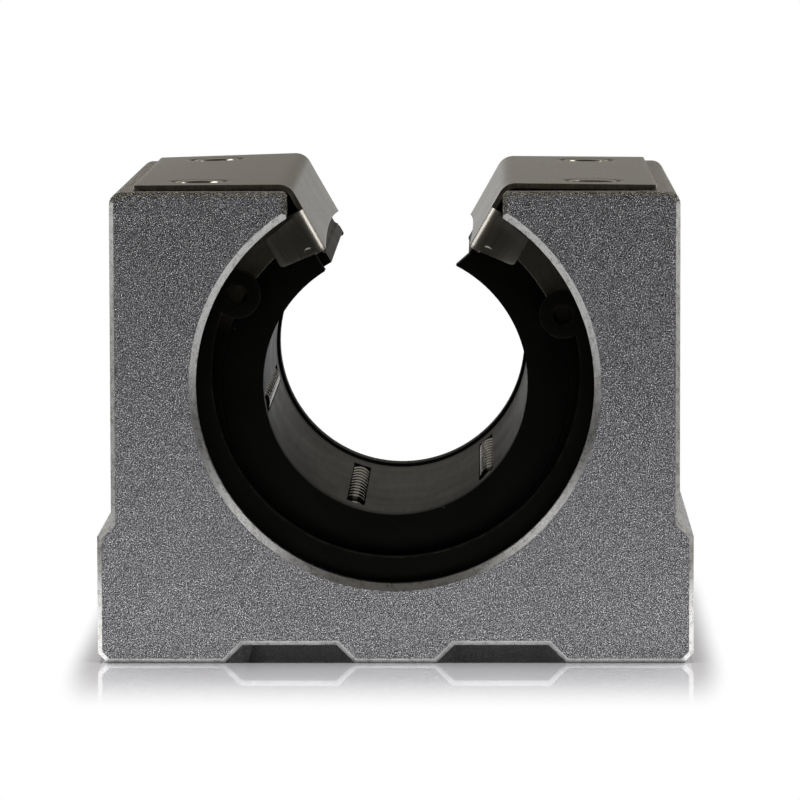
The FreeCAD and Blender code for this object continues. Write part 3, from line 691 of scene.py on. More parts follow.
class Editing:
    """Edit mode on one object, with nothing selected at first."""

    def __init__(self, piece: bpy.types.Object, kind: str = "VERT") -> None:
        """Remember the object and the kind of element to select."""
        self.piece = piece
        self.kind = kind

    def __enter__(self) -> "Editing":
        """Go into edit mode."""
        select(self.piece)
        bpy.ops.object.mode_set(mode="EDIT")
        bpy.ops.mesh.select_mode(type=self.kind)
        bpy.ops.mesh.select_all(action="DESELECT")
        return self

    def __exit__(self, *_: object) -> None:
        """Go back to object mode."""
        bpy.ops.object.mode_set(mode="OBJECT")

    def _choose(self, kind: str, test: Callable[..., bool]) -> None:
        """Select the elements of one kind that pass a test, and nothing else.

        Args:
            kind: "VERT", "EDGE" or "FACE".
            test: says of one element whether it is chosen.
        """
        bpy.ops.mesh.select_mode(type=kind)
        bpy.ops.object.mode_set(mode="OBJECT")
        mesh = self.piece.data
        elements = {"VERT": mesh.vertices, "EDGE": mesh.edges, "FACE": mesh.polygons}
        for group in elements.values():
            for item in group:
                item.select = False
        for item in elements[kind]:
            item.select = test(item)
        bpy.ops.object.mode_set(mode="EDIT")

    def vertices(self, test: Callable[[Vector], bool]) -> None:
        """Select vertices by their place."""
        self._choose("VERT", lambda vertex: test(vertex.co))

    def edges(self, test: Callable[[Vector], bool]) -> None:
        """Select edges whose two ends both pass a test."""
        points = self.piece.data.vertices
        self._choose("EDGE", lambda edge: all(test(points[end].co) for end in edge.vertices))

    def faces(self, test: Callable[[Vector, Vector], bool]) -> None:
        """Select faces by their centre and normal."""
        self._choose("FACE", lambda face: test(face.center, face.normal))

    @staticmethod
    def everything() -> None:
        """Select the whole mesh."""
        bpy.ops.mesh.select_all(action="SELECT")


def apply_modifier(piece: bpy.types.Object, kind: str, **settings: object) -> None:
    """Add one modifier to a piece and apply it.

    Args:
        piece: the piece.
        kind: the modifier's type name.
        settings: its properties.
    """
    select(piece)
    modifier = piece.modifiers.new(kind.lower(), kind)
    for name, value in settings.items():
        setattr(modifier, name, value)
    bpy.ops.object.modifier_apply(modifier=modifier.name)


def ease_edges(piece: bpy.types.Object, width: float, segments: int, degrees: float) -> None:
    """Round a piece's edges.

    Args:
        piece: the piece.
        width: the rounding's width, in the piece's own units.
        segments: the steps across it.
        degrees: only edges sharper than this are rounded.
    """
    limit = {"limit_method": "ANGLE", "angle_limit": math.radians(degrees)}
    apply_modifier(piece, "BEVEL", width=width, segments=segments, **limit)


def combine(piece: bpy.types.Object, operation: str, tool: bpy.types.Object) -> None:
    """Unite a piece with a tool, or cut the tool from it, and remove the tool."""
    apply_modifier(piece, "BOOLEAN", operation=operation, object=tool, solver="EXACT")
    bpy.data.objects.remove(tool)


def bake_place(piece: bpy.types.Object) -> None:
    """Put a piece's place, turn and scale into its mesh."""
    select(piece)
    bpy.ops.object.transform_apply(location=True, rotation=True, scale=True)


def flip_faces(piece: bpy.types.Object) -> None:
    """Turn every face of a piece over."""
    with Editing(piece, "FACE") as edit:
        edit.everything()
        bpy.ops.mesh.flip_normals()


def smooth(piece: bpy.types.Object, degrees: float) -> None:
    """Shade a piece smoothly, apart from edges sharper than an angle."""
    select(piece)
    bpy.ops.object.shade_smooth_by_angle(angle=math.radians(degrees))


def dress(piece: bpy.types.Object, *materials: bpy.types.Material) -> None:
    """Give a piece its materials, in the order of its material slots."""
    piece.data.materials.clear()
    for material in materials:
        piece.data.materials.append(material)


def hand_over(piece: bpy.types.Object, node: str, note: str) -> None:
    """Let a finished piece ride on the block and stand for its CAD node.

    Args:
        piece: the finished piece.
        node: the CAD node that it replaces.
        note: what it is, for the log.
    """
    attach(piece, ROOT_BODY)
    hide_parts(node)
    LOG.info("%s: %s (%d faces)", piece.name, note, len(piece.data.polygons))


def to_metres(piece: bpy.types.Object) -> None:
    """Scale a piece modelled in millimetres down to the frame's metres."""
    piece.scale = (MM,) * 3
    bake_place(piece)


def copy_of_node(node: str, name: str) -> bpy.types.Object:
    """Copy a CAD node's mesh, in millimetres, with its loose triangles joined up.

    Args:
        node: the CAD node.
        name: the new piece's name.

    Returns:
        The new piece.
    """
    same_point = 0.002
    piece = new_object(name, frame["nodes"][node].data.copy())
    piece.scale = (1 / MM,) * 3
    bake_place(piece)
    with Editing(piece) as edit:
        edit.everything()
        bpy.ops.mesh.remove_doubles(threshold=same_point)
        bpy.ops.mesh.customdata_custom_splitnormals_clear()
    return piece


def clean_copy_of_node(node: str, name: str) -> bpy.types.Object:
    """Copy a CAD node's mesh, in millimetres, with each flat area made one face.

    Args:
        node: the CAD node.
        name: the new piece's name.

    Returns:
        The new piece.
    """
    flat = math.radians(0.6)
    piece = copy_of_node(node, name)
    with Editing(piece, "FACE") as edit:
        edit.everything()
        bpy.ops.mesh.dissolve_limited(angle_limit=flat, delimit={"NORMAL"})
    return piece


def join_copies(
    pattern: bpy.types.Object, name: str, places: Sequence[tuple[Sequence[float], Sequence[float]]]
) -> bpy.types.Object:
    """Copy a pattern to every place, join the copies and remove the pattern.

    Args:
        pattern: the piece to copy, at the origin.
        name: the joined piece's name.
        places: each copy's location, and its turn about X, Y and Z in radians.

    Returns:
        The joined piece.
    """
    copies = []
    for location, turn in places:
        copy = new_object(name, pattern.data.copy())
        copy.location = location
        copy.rotation_euler = turn
        bake_place(copy)
        copies.append(copy)
    bpy.data.objects.remove(pattern)
    select(*copies)
    bpy.ops.object.join()
    return copies[0]


# --- Sub-assemblies --------------------------------------------------------------------------


class Side(Enum):
    """Which leg of the block a plate lies on."""

    LEFT = -1
    RIGHT = 1


class End(Enum):
    """Which end of the bushing a ring or seal is at."""

    FRONT = -1
    REAR = 1


class BlockSlot(IntEnum):
    """The block's material slots."""

    BLASTED = 0
    CHAMFER = 1
    # The legs' tops and the chamfers beside the slot: a darker copy of the blasted finish, painted
    # shade.
    LEG_TOP = 2


class PlateSlot(IntEnum):
    """A cover plate's material slots."""

    SHEET = 0
    CUT = 1
    BRUSHED = 2
    # Dish faces round the screws: a brighter copy of the sheet steel, a painted highlight for the
    # glints.
    BURNISHED = 3


def pare_slot_side(piece: bpy.types.Object, side: Side, offset: float) -> None:
    """Cut a bushing part back beside its slot.

    Args:
        piece: the part, in millimetres.
        side: the side of the slot that is cut.
        offset: where the new face lies, measured from the slot face into the slot.
    """
    thickness, length, height = 3.0, 90.0, 14.0
    middle_reach = 23.0
    lean = math.radians(SLOT_SLOPE)
    centre_offset = offset + thickness / 2
    across = side.value * (middle_reach * math.sin(lean) - centre_offset * math.cos(lean))
    upward = AXIS_HEIGHT + middle_reach * math.cos(lean) + centre_offset * math.sin(lean)
    bpy.ops.mesh.primitive_cube_add(
        size=1.0, location=(across, 0.0, upward), rotation=(0.0, side.value * lean, 0.0)
    )
    cutter = bpy.context.active_object
    cutter.scale = (thickness, length, height)
    bake_place(cutter)
    combine(piece, "DIFFERENCE", cutter)


@dataclass
class BlockBody:
    """The extruded block with its bore, slot and mounting holes, in metres."""

    finish: BlastedAluminium = BlastedAluminium()
    chamfer: MachinedChamfer = MachinedChamfer()
    # A darker copy of the blasted finish for the legs' tops: painted shade.
    leg_top: BlastedAluminium = BlastedAluminium("leg_top_aluminium", (0.27, 0.256, 0.228))
    chamfer_lean: tuple[float, float] = (0.55, 0.85)
    least_lean: float = 0.2
    axis_height: float = AXIS_HEIGHT * MM
    lip_radius: float = 33.5 * MM
    outer_side: float = 38.5 * MM
    foot_height: float = 12.0 * MM
    slot_side: float = 17.0 * MM
    leg_end: float = 67.8 * MM
    sharp: float = 32.0

    def _slot(self, face: bpy.types.MeshPolygon) -> BlockSlot:
        """Tell machined chamfers and the legs' tops, painted darker as painted shade, from the
        blasted faces.

        Args:
            face: a face of the block.

        Returns:
            The face's material slot.
        """
        least, most = self.chamfer_lean
        place, normal = face.center, face.normal
        if place.z > self.leg_end:
            leaning = self.least_lean < abs(normal.y) < most
            beside_slot = abs(place.x) < self.slot_side
            # Upward faces, and the chamfers beside the slot, take the painted shade.
            if normal.z > self.least_lean or (leaning and beside_slot):
                return BlockSlot.LEG_TOP
            return BlockSlot.CHAMFER if leaning else BlockSlot.BLASTED
        radius = math.hypot(place.x, place.z - self.axis_height)
        cut = radius < self.lip_radius or abs(place.x) > self.outer_side
        bright = least < abs(normal.y) < most and (cut or place.z < self.foot_height)
        return BlockSlot.CHAMFER if bright else BlockSlot.BLASTED

    def build(self) -> None:
        """Dress the block, its chamfers brighter and its legs' tops painted darker than the rest as
        painted shade.
        """
        piece = clean_copy_of_node("bearing_block", "block_body")
        to_metres(piece)
        smooth(piece, self.sharp)
        dress(piece, self.finish.material(), self.chamfer.material(), self.leg_top.material())
        for face in piece.data.polygons:
            face.material_index = self._slot(face)
        hand_over(piece, "bearing_block", "blasted aluminium block")


@dataclass
class CoverPlate:
    """A folded cover plate on one leg, in millimetres, drawn for the left leg.

    Until it stands up, the sheet lies in the slot face's own frame: X is the offset from that
    face into the slot, and Z the reach from the shaft's axis along it.
    """

    side: Side
    stand_off: float
    reach_shift: float
    rises: dict[End, float]
    tab_leans: dict[End, float]
    sheet: bpy.types.Material
    cut: bpy.types.Material
    brushed: bpy.types.Material
    # A brighter copy of the sheet steel for the dishes: painted highlight.
    burnished: bpy.types.Material
    top: float = 72.0
    outer_edge: float = 39.5
    half_length: float = 40.3
    thickness: float = 0.75
    bend_radius: float = 2.8
    flange_reach: float = 22.8
    flange_bow: float = 1.0
    tab_face: float = 41.4
    tab_reach: float = 29.7
    tab_width: float = 7.2
    tab_tapers: tuple[float, float] = (0.8, 1.25)
    tab_corners: tuple[float, float] = (0.8, 0.3)
    fold_radius: float = 1.5
    nick_across: tuple[float, float] = (0.15, 1.75)
    nick_reach: tuple[float, float] = (23.5, 24.4)
    nick_depth: float = 0.12
    outer_corner: float = 0.5
    pitch: float = 0.62
    screw_x: float = 30.0
    screw_y: float = 30.0
    dish: tuple[tuple[float, float], ...] = (
        (0.0, 0.78), (3.4, 0.78), (3.5, 0.7), (3.75, 0.26), (3.9, 0.15), (4.4, 0.05), (5.1, 0.0)
    )
    hole_radius: float = 2.2
    dish_cuts: int = 3
    bend_steps: int = 10
    fold_steps: int = 7
    nick_cuts: int = 9
    nick_share: float = 0.85
    nick_margins: tuple[float, float] = (0.1, 0.2)
    tab_margin: float = 1.5
    tab_lean: float = 0.25
    bow_zone: float = 3.0
    twist_inner: float = -9.0
    twist_heights: tuple[float, float] = (55.0, 73.0)
    twist_lifts: tuple[float, ...] = (0.0, 0.0, 0.9, 1.1)
    edge_round: float = 0.08
    top_depth: float = 0.1
    dish_depth: float = 2.0
    touch: float = 0.01

    @property
    def name(self) -> str:
        """The piece's name."""
        return f"cover_plate_{self.side.name.lower()}"

    def _local(self, across: float, upward: float) -> tuple[float, float]:
        """Turn a point of the block's frame into the slot face's frame.

        Args:
            across: the point's X.
            upward: the point's Z.

        Returns:
            Its offset from the slot face and its reach from the shaft's axis.
        """
        slope = math.radians(SLOT_SLOPE)
        rise = upward - AXIS_HEIGHT
        offset = across * math.cos(slope) + rise * math.sin(slope)
        reach = -across * math.sin(slope) + rise * math.cos(slope)
        return offset, reach

    def _tab_rows(self) -> list[float]:
        """Reaches of the tab's rows of points, from its top to its lower edge."""
        low, high = self.nick_reach
        rows = (self.tab_reach, high, low, self.flange_reach)
        return [row + self.reach_shift for row in rows]

    def _profile(self) -> list[tuple[float, float]]:
        """The outer face's section, from the plate's outer edge to the flange's lower edge."""
        slope = math.radians(SLOT_SLOPE)
        corner = self.stand_off - (self.top - AXIS_HEIGHT) * math.sin(slope)
        corner /= math.cos(slope)
        start = -self.outer_edge
        flat_end = corner - self.bend_radius * math.tan((math.pi / 2 - slope) / 2)
        count = round((flat_end - start) / self.pitch)
        points = []
        for number in range(count + 1):
            points.append(self._local(start + (flat_end - start) * number / count, self.top))
        steps = self.bend_steps
        for number in range(1, steps + 1):
            angle = (math.pi / 2 - slope) * number / steps
            across = flat_end + self.bend_radius * math.sin(angle)
            upward = self.top - self.bend_radius * (1 - math.cos(angle))
            points.append(self._local(across, upward))
        points += [(self.stand_off, reach) for reach in self._tab_rows()]
        return points

    def _sheet(self) -> bpy.types.Object:
        """The outer face of the plate as one sheet, without tabs."""
        points = self._profile()
        rows = round(2 * self.half_length / self.pitch)
        bpy.ops.mesh.primitive_grid_add(x_subdivisions=1, y_subdivisions=rows, size=1.0)
        piece = bpy.context.active_object
        piece.name = self.name
        first, second = points[0], points[1]
        step = math.dist(first, second)
        piece.scale = (step, 2 * self.half_length, 1.0)
        turn = math.atan2(second[1] - first[1], second[0] - first[0])
        piece.rotation_euler = (0.0, -turn, 0.0)
        piece.location = ((first[0] + second[0]) / 2, 0.0, (first[1] + second[1]) / 2)
        bake_place(piece)
        with Editing(piece, "EDGE") as edit:
            edit.edges(lambda co: math.dist((co.x, co.z), second) < self.touch)
            for here, there in zip(points[1:], points[2:]):
                move = (there[0] - here[0], 0.0, there[1] - here[1])
                bpy.ops.mesh.extrude_edges_move(TRANSFORM_OT_translate={"value": move})
        with Editing(piece, "VERT") as edit:
            edit.vertices(
                lambda co: math.dist((co.x, co.z), first) < self.touch
                and abs(co.y) > self.half_length - self.touch
            )
            bpy.ops.mesh.bevel(affect="VERTICES", offset=self.outer_corner, segments=4)
        return piece

    def _fold_tab(self, piece: bpy.types.Object, end: End) -> None:
        """Fold one end of the flange into a tab and shape it.

        Args:
            piece: the sheet.
            end: the end that is folded.
        """
        way = end.value
        lean = math.radians(self.tab_leans[end])
        fold_start = self.tab_face - self.fold_radius
        highest, *_, lowest = self._tab_rows()
        height = highest - lowest
        hub = self.stand_off - self.fold_radius
        with Editing(piece, "EDGE") as edit:
            edit.edges(
                lambda co: abs(co.y - way * self.half_length) < self.touch
                and abs(co.x - self.stand_off) < self.touch
                and lowest - self.touch < co.z < highest + self.touch
            )
            back = (0.0, way * (fold_start - self.half_length), 0.0)
            bpy.ops.transform.translate(value=back)
            bpy.ops.mesh.spin(
                steps=self.fold_steps,
                angle=-(math.pi / 2 + lean),
                center=(hub, way * fold_start, 0.0),
                axis=(0.0, 0.0, float(way)),
            )
            lower, upper = self.tab_tapers
            still = lowest + height * lower / (lower + upper)
            offset = hub - self.fold_radius * math.sin(lean)
            span = 1.0
            marks = [offset - across for across in self.nick_across]
            for target in (*marks, self.stand_off - self.tab_width):
                length = (offset - target) / math.cos(lean)
                inward = -way * length * math.sin(lean)
                move = (target - offset, inward, 0.0)
                bpy.ops.mesh.extrude_edges_move(TRANSFORM_OT_translate={"value": move})
                share = (self.stand_off - target) / self.tab_width
                wanted = 1.0 - (lower + upper) * share / height
                bpy.ops.transform.resize(
                    value=(1.0, 1.0, wanted / span), center_override=(target, 0.0, still)
                )
                span = wanted
                offset = target
        ends = (lowest + lower, highest - upper)
        for reach, radius in zip(ends, self.tab_corners):
            with Editing(piece, "VERT") as edit:
                edit.vertices(
                    lambda co, reach=reach: abs(co.x - offset) < self.touch
                    and abs(co.z - reach) < self.touch
                    and co.y * way > 0
                )
                bpy.ops.mesh.bevel(affect="VERTICES", offset=radius, segments=5)
        self._stamp_nick(piece, way, *marks)

    def _stamp_nick(self, piece: bpy.types.Object, way: int, near: float, far: float) -> None:
        """Press the small oval mark into a tab's face.

        Args:
            piece: the sheet.
            way: -1 for the front tab and 1 for the rear one.
            near: the mark's offset from the slot face on the fold's side.
            far: its offset on the far side.
        """
        low, high = (reach + self.reach_shift for reach in self.nick_reach)
        middle = Vector(((near + far) / 2, 0.0, (low + high) / 2))
        half = Vector(((near - far) / 2, 1.0, (high - low) / 2)) * self.nick_share
        under, over = self.nick_margins
        with Editing(piece, "FACE") as edit:
            edit.faces(
                lambda centre, normal: centre.y * way > self.half_length
                and far < centre.x < near
                and low - under < centre.z < high + over
            )
            bpy.ops.mesh.subdivide(number_cuts=self.nick_cuts)
        for vertex in piece.data.vertices:
            co = vertex.co
            away = math.hypot((co.x - middle.x) / half.x, (co.z - middle.z) / half.z)
            if co.y * way > self.half_length and away < 1.0:
                co.y -= way * self.nick_depth * min(1.0, 2.0 * (1.0 - away))

    def _bow_edge(self, piece: bpy.types.Object) -> None:
        """Cut the flange's lower edge back in a shallow arc between the tabs.

        Args:
            piece: the sheet.
        """
        highest, *_, lowest = self._tab_rows()
        zone = self.bow_zone * self.flange_bow
        for vertex in piece.data.vertices:
            co = vertex.co
            share = 1.0 - (co.z - lowest) / zone
            bend = 1.0 - (co.y / (self.half_length - self.tab_margin)) ** 2
            if abs(co.x - self.stand_off) < self.touch and share > 0 and bend > 0:
                co.z += self.flange_bow * bend * share

    def _stand_up(self, piece: bpy.types.Object) -> None:
        """Turn the sheet from the slot face's own frame to the block's.

        Args:
            piece: the sheet.
        """
        piece.rotation_euler = (0.0, -math.radians(SLOT_SLOPE), 0.0)
        piece.location = (0.0, 0.0, AXIS_HEIGHT)
        bake_place(piece)

    def _sink(self, radius: float) -> float:
        """Measure the dish's depth.

        Args:
            radius: the distance from the screw's axis.

        Returns:
            How far the sheet lies below the plate's top there.
        """
        for (near, deep), (far, shallow) in zip(self.dish, self.dish[1:]):
            if near <= radius < far:
                return deep + (shallow - deep) * (radius - near) / (far - near)
        return 0.0

    def _dish_holes(self, piece: bpy.types.Object) -> None:
        """Press the sheet down round each screw and open its hole.

        Args:
            piece: the sheet.
        """
        edge = self.dish[-1][0]
        for along in (-self.screw_y, self.screw_y):
            centre = Vector((-self.screw_x, along))
            with Editing(piece, "FACE") as edit:
                edit.faces(
                    lambda place, normal, centre=centre: place.z > self.top - self.top_depth
                    and (place.xy - centre).length < edge + self.pitch
                )
                bpy.ops.mesh.subdivide(number_cuts=self.dish_cuts)
                edit.faces(
                    lambda place, normal, centre=centre: place.z > self.top - self.top_depth
                    and (place.xy - centre).length < self.hole_radius
                )
                bpy.ops.mesh.delete(type="FACE")
            for vertex in piece.data.vertices:
                if vertex.co.z > self.top - self.top_depth:
                    vertex.co.z -= self._sink((vertex.co.xy - centre).length)

    def _twist(self, piece: bpy.types.Object) -> None:
        """Lift the inner edge by its own amount at each end, in a lattice.

        Args:
            piece: the sheet.
        """
        columns = len(self.twist_lifts)
        inner = self.twist_inner
        low, high = self.twist_heights
        grid = bpy.data.lattices.new("plate_twist")
        grid.points_u, grid.points_v, grid.points_w = columns, 2, 2
        cage = new_object("plate_twist", grid)
        cage.location = ((inner - self.outer_edge) / 2, 0.0, (low + high) / 2)
        cage.scale = (inner + self.outer_edge, 2 * self.tab_face, high - low)
        for direction in "uvw":
            setattr(grid, f"interpolation_type_{direction}", "KEY_LINEAR")
        for number, point in enumerate(grid.points):
            column = number % columns
            end = End.REAR if number // columns % 2 else End.FRONT
            point.co_deform.z += self.rises[end] * self.twist_lifts[column] / (high - low)
        bpy.context.view_layer.update()
        apply_modifier(piece, "LATTICE", object=cage)
        bpy.data.objects.remove(cage)

    def _face_out(self, piece: bpy.types.Object) -> None:
        """Merge the sheet's points and turn all its faces outwards.

        Args:
            piece: the sheet.
        """
        same_point = 0.001
        with Editing(piece, "FACE") as edit:
            edit.everything()
            bpy.ops.mesh.remove_doubles(threshold=same_point)
            bpy.ops.mesh.normals_make_consistent(inside=False)
        if sum(face.normal.z * face.area for face in piece.data.polygons) < 0:
            flip_faces(piece)

    def build(self) -> None:
        """Model and dress the plate."""
        piece = self._sheet()
        for end in End:
            self._fold_tab(piece, end)
        self._bow_edge(piece)
        self._stand_up(piece)
        self._dish_holes(piece)
        self._twist(piece)
        self._face_out(piece)
        if self.side is Side.RIGHT:
            piece.scale = (-1.0, 1.0, 1.0)
            bake_place(piece)
            flip_faces(piece)
        dress(piece, self.sheet, self.cut, self.brushed, self.burnished)
        tab_zone = self.half_length - self.tab_margin
        for face in piece.data.polygons:
            place = face.center
            away = math.hypot(abs(place.x) - self.screw_x, abs(place.y) - self.screw_y)
            if abs(face.normal.y) > self.tab_lean and abs(place.y) > tab_zone:
                face.material_index = PlateSlot.BRUSHED
            # Faces in the dishes take the brighter steel: painted highlight.
            elif away < self.dish[-2][0] and place.z > self.top - self.dish_depth:
                face.material_index = PlateSlot.BURNISHED
        apply_modifier(
            piece,
            "SOLIDIFY",
            thickness=self.thickness,
            offset=-1.0,
            material_offset_rim=PlateSlot.CUT,
        )
        for face in piece.data.polygons:
            if face.material_index == PlateSlot.BURNISHED and abs(face.center.y) > tab_zone:
                face.material_index = PlateSlot.CUT
        ease_edges(piece, self.edge_round, segments=2, degrees=50.0)
        to_metres(piece)
        smooth(piece, 35.0)
        node = f"retaining_plate_{self.side.name.lower()}"
        hand_over(piece, node, "folded cover plate")


@dataclass
class PlateScrews:
    """The countersunk cross-recess screws of the cover plates, in millimetres."""

    steel: bpy.types.Material
    spacing: float = 60.0
    tops: tuple[float, ...] = (71.45, 71.45, 71.9, 71.45)
    turns: tuple[float, ...] = (20.0, 55.0, 90.0, 125.0)
    head_radius: float = 3.25
    rim_height: float = 0.3
    rim_width: float = 0.45
    crown: tuple[float, float] = (0.75, -0.16)
    shank_radius: float = 1.75
    length: float = 8.6
    sides: int = 56
    arm: float = 0.95
    reach: float = 1.9
    depth: float = 1.5
    recess_taper: float = 0.55
    edge_round: float = 0.1

    def _recess(self) -> bpy.types.Object:
        """The tapered cross that is cut from the head."""
        arms = []
        for turn in (0.0, math.pi / 2):
            bpy.ops.mesh.primitive_cube_add(size=1.0, rotation=(0.0, 0.0, turn))
            bar = bpy.context.active_object
            bar.scale = (2 * self.reach, self.arm, 2 * self.depth)
            bake_place(bar)
            with Editing(bar) as edit:
                edit.vertices(lambda co: co.z < 0)
                bpy.ops.transform.resize(value=(self.recess_taper, self.recess_taper, 1.0))
            arms.append(bar)
        cross, other = arms
        combine(cross, "UNION", other)
        return cross

    def _screw(self) -> bpy.types.Object:
        """One screw with its head's top at the origin."""
        rim = self.rim_height
        bpy.ops.mesh.primitive_cylinder_add(
            vertices=self.sides, radius=self.head_radius, depth=rim, location=(0.0, 0.0, -rim / 2)
        )
        screw = bpy.context.active_object
        bake_place(screw)
        cone = self.head_radius - self.shank_radius
        factor = self.shank_radius / self.head_radius
        shank = self.length - cone - rim
        crown_width, crown_height = self.crown
        with Editing(screw, "FACE") as edit:
            edit.faces(lambda centre, normal: normal.z < -0.9)
            bpy.ops.mesh.extrude_region_move(TRANSFORM_OT_translate={"value": (0, 0, -cone)})
            bpy.ops.transform.resize(value=(factor, factor, 1.0))
            bpy.ops.mesh.extrude_region_move(TRANSFORM_OT_translate={"value": (0, 0, -shank)})
            edit.faces(lambda centre, normal: normal.z > 0.9)
            bpy.ops.mesh.inset(thickness=self.rim_width, depth=0.0)
            bpy.ops.mesh.inset(thickness=crown_width, depth=crown_height)
        combine(screw, "DIFFERENCE", self._recess())
        ease_edges(screw, self.edge_round, segments=3, degrees=35.0)
        return screw

    def build(self) -> None:
        """Model one screw, copy it to its four places and dress the group."""
        half = self.spacing / 2
        spots = [(x, y) for x in (-half, half) for y in (-half, half)]
        places = [
            ((across, along, top), (0.0, 0.0, math.radians(turn)))
            for turn, top, (across, along) in zip(self.turns, self.tops, spots)
        ]
        group = join_copies(self._screw(), "plate_screw_set", places)
        to_metres(group)
        smooth(group, 35.0)
        dress(group, self.steel)
        hand_over(group, "plate_screws", "four countersunk screws")


@dataclass
class SnapRing:
    """A snap ring with its sheared edges eased, in millimetres."""

    end: End
    steel: bpy.types.Material
    ease: float = 0.18

    def build(self) -> None:
        """Dress the ring."""
        name = self.end.name.lower()
        piece = clean_copy_of_node(f"snap_ring_{name}", f"retaining_ring_{name}")
        ease_edges(piece, self.ease, segments=3, degrees=40.0)
        to_metres(piece)
        smooth(piece, 35.0)
        dress(piece, self.steel)
        hand_over(piece, f"snap_ring_{name}", "dark snap ring")


@dataclass
class EndSeal:
    """A moulded rubber seal with its edges eased, in millimetres."""

    end: End
    rubber: bpy.types.Material
    ease: float = 0.12
    rear_cuts: tuple[tuple[Side, float], ...] = ((Side.LEFT, 0.3), (Side.RIGHT, -1.15))

    def build(self) -> None:
        """Shape and dress the seal."""
        name = self.end.name.lower()
        piece = clean_copy_of_node(f"seal_{name}", f"wiper_seal_{name}")
        if self.end is End.REAR:
            for side, offset in self.rear_cuts:
                pare_slot_side(piece, side, offset)
        ease_edges(piece, self.ease, segments=2, degrees=30.0)
        to_metres(piece)
        smooth(piece, 35.0)
        dress(piece, self.rubber)
        hand_over(piece, f"seal_{name}", "rubber wiper seal")


@dataclass
class Bushing:
    """The sleeve, the ball retainer and the circuits of balls, in millimetres."""

    steel: bpy.types.Material
    # The sleeve's end faces: painted shade low down and painted light towards the slot.
    rubbed: bpy.types.Material
    plastic: bpy.types.Material
    ball: bpy.types.Material
    circuits: int = 5
    ball_radius: float = 1.985
    fineness: tuple[tuple[str, int], ...] = (("loaded", 3), ("return", 2))
    sleeve_offset: float = -0.75
    retainer_offset: float = -1.1
    end_lean: float = 0.9

    def _dress_node(
        self, node: str, name: str, slot: str, offset: float, *materials: bpy.types.Material
    ) -> None:
        """Take over a CAD node whose shape is right, set back a little beside the slot.

        Args:
            node: the CAD node.
            name: the new piece's name.
            slot: not used.
            offset: where its right-hand slot face lies.
            materials: its finish, and that of its end faces where it has another.
        """
        piece = clean_copy_of_node(node, name)
        pare_slot_side(piece, Side.RIGHT, offset)
        to_metres(piece)
        smooth(piece, 30.0)
        dress(piece, *materials)
        for face in piece.data.polygons:
            at_end = abs(face.normal.y) > self.end_lean
            face.material_index = len(materials) - 1 if at_end else 0
        hand_over(piece, node, "bushing part")

    def _centres(self, node: str) -> list[Vector]:
        """Find a CAD node's balls.

        Args:
            node: the CAD node, whose balls are separate solids.

        Returns:
            Their centres, in millimetres.
        """
        probe = copy_of_node(node, f"{node}_probe")
        with Editing(probe) as edit:
            edit.everything()
            bpy.ops.mesh.separate(type="LOOSE")
        parts = [item for item in bpy.data.objects if item.name.startswith(f"{node}_probe")]
        centres = []
        for part in parts:
            points = [vertex.co for vertex in part.data.vertices]
            centres.append(sum(points, Vector()) / len(points))
            bpy.data.objects.remove(part)
        return centres

    def _circuit(self, number: int) -> None:
        """Replace both groups of one circuit with smooth balls."""
        for kind, fineness in self.fineness:
            node = f"{kind}_balls_{number}"
            places = [(centre, (centre.y, centre.x, centre.z)) for centre in self._centres(node)]
            bpy.ops.mesh.primitive_ico_sphere_add(subdivisions=fineness, radius=self.ball_radius)
            row = join_copies(bpy.context.active_object, f"{kind}_row_{number}", places)
            to_metres(row)
            select(row)
            bpy.ops.object.shade_smooth()
            dress(row, self.ball)
            hand_over(row, node, f"{len(places)} balls")

    def build(self) -> None:
        """Dress every piece of the bushing."""
        # The sleeve's second material paints shade low on its end faces and light near the slot.
        sleeve = (self.steel, self.rubbed)
        self._dress_node("outer_sleeve", "hardened_sleeve", "sleeve", self.sleeve_offset, *sleeve)
        self._dress_node("ball_retainer", "ball_cage", "retainer", self.retainer_offset, self.plastic)
        for number in range(1, self.circuits + 1):
            self._circuit(number)


# --- Studio ----------------------------------------------------------------------------------


@dataclass(frozen=True)
class SoftBox:
    """A rectangular lamp aimed at the object, in metres and watts."""

    name: str
    place: Point
    size: tuple[float, float]
    power: float
    colour: Colour = (1.0, 1.0, 1.0)
    in_gloss: bool = True
    target: Point = (0.0, 0.0, 0.04)

    def build(self) -> None:
        """Hang the lamp up and aim it."""
        data = bpy.data.lights.new(self.name, "AREA")
        data.shape = "RECTANGLE"
        data.size, data.size_y = self.size
        data.energy = self.power
        data.color = self.colour
        lamp = new_object(self.name, data)
        lamp.location = self.place
        aim = Vector(self.target) - Vector(self.place)
        lamp.rotation_euler = aim.to_track_quat("-Z", "Y").to_euler()
        lamp.visible_camera = False
        lamp.visible_glossy = self.in_gloss


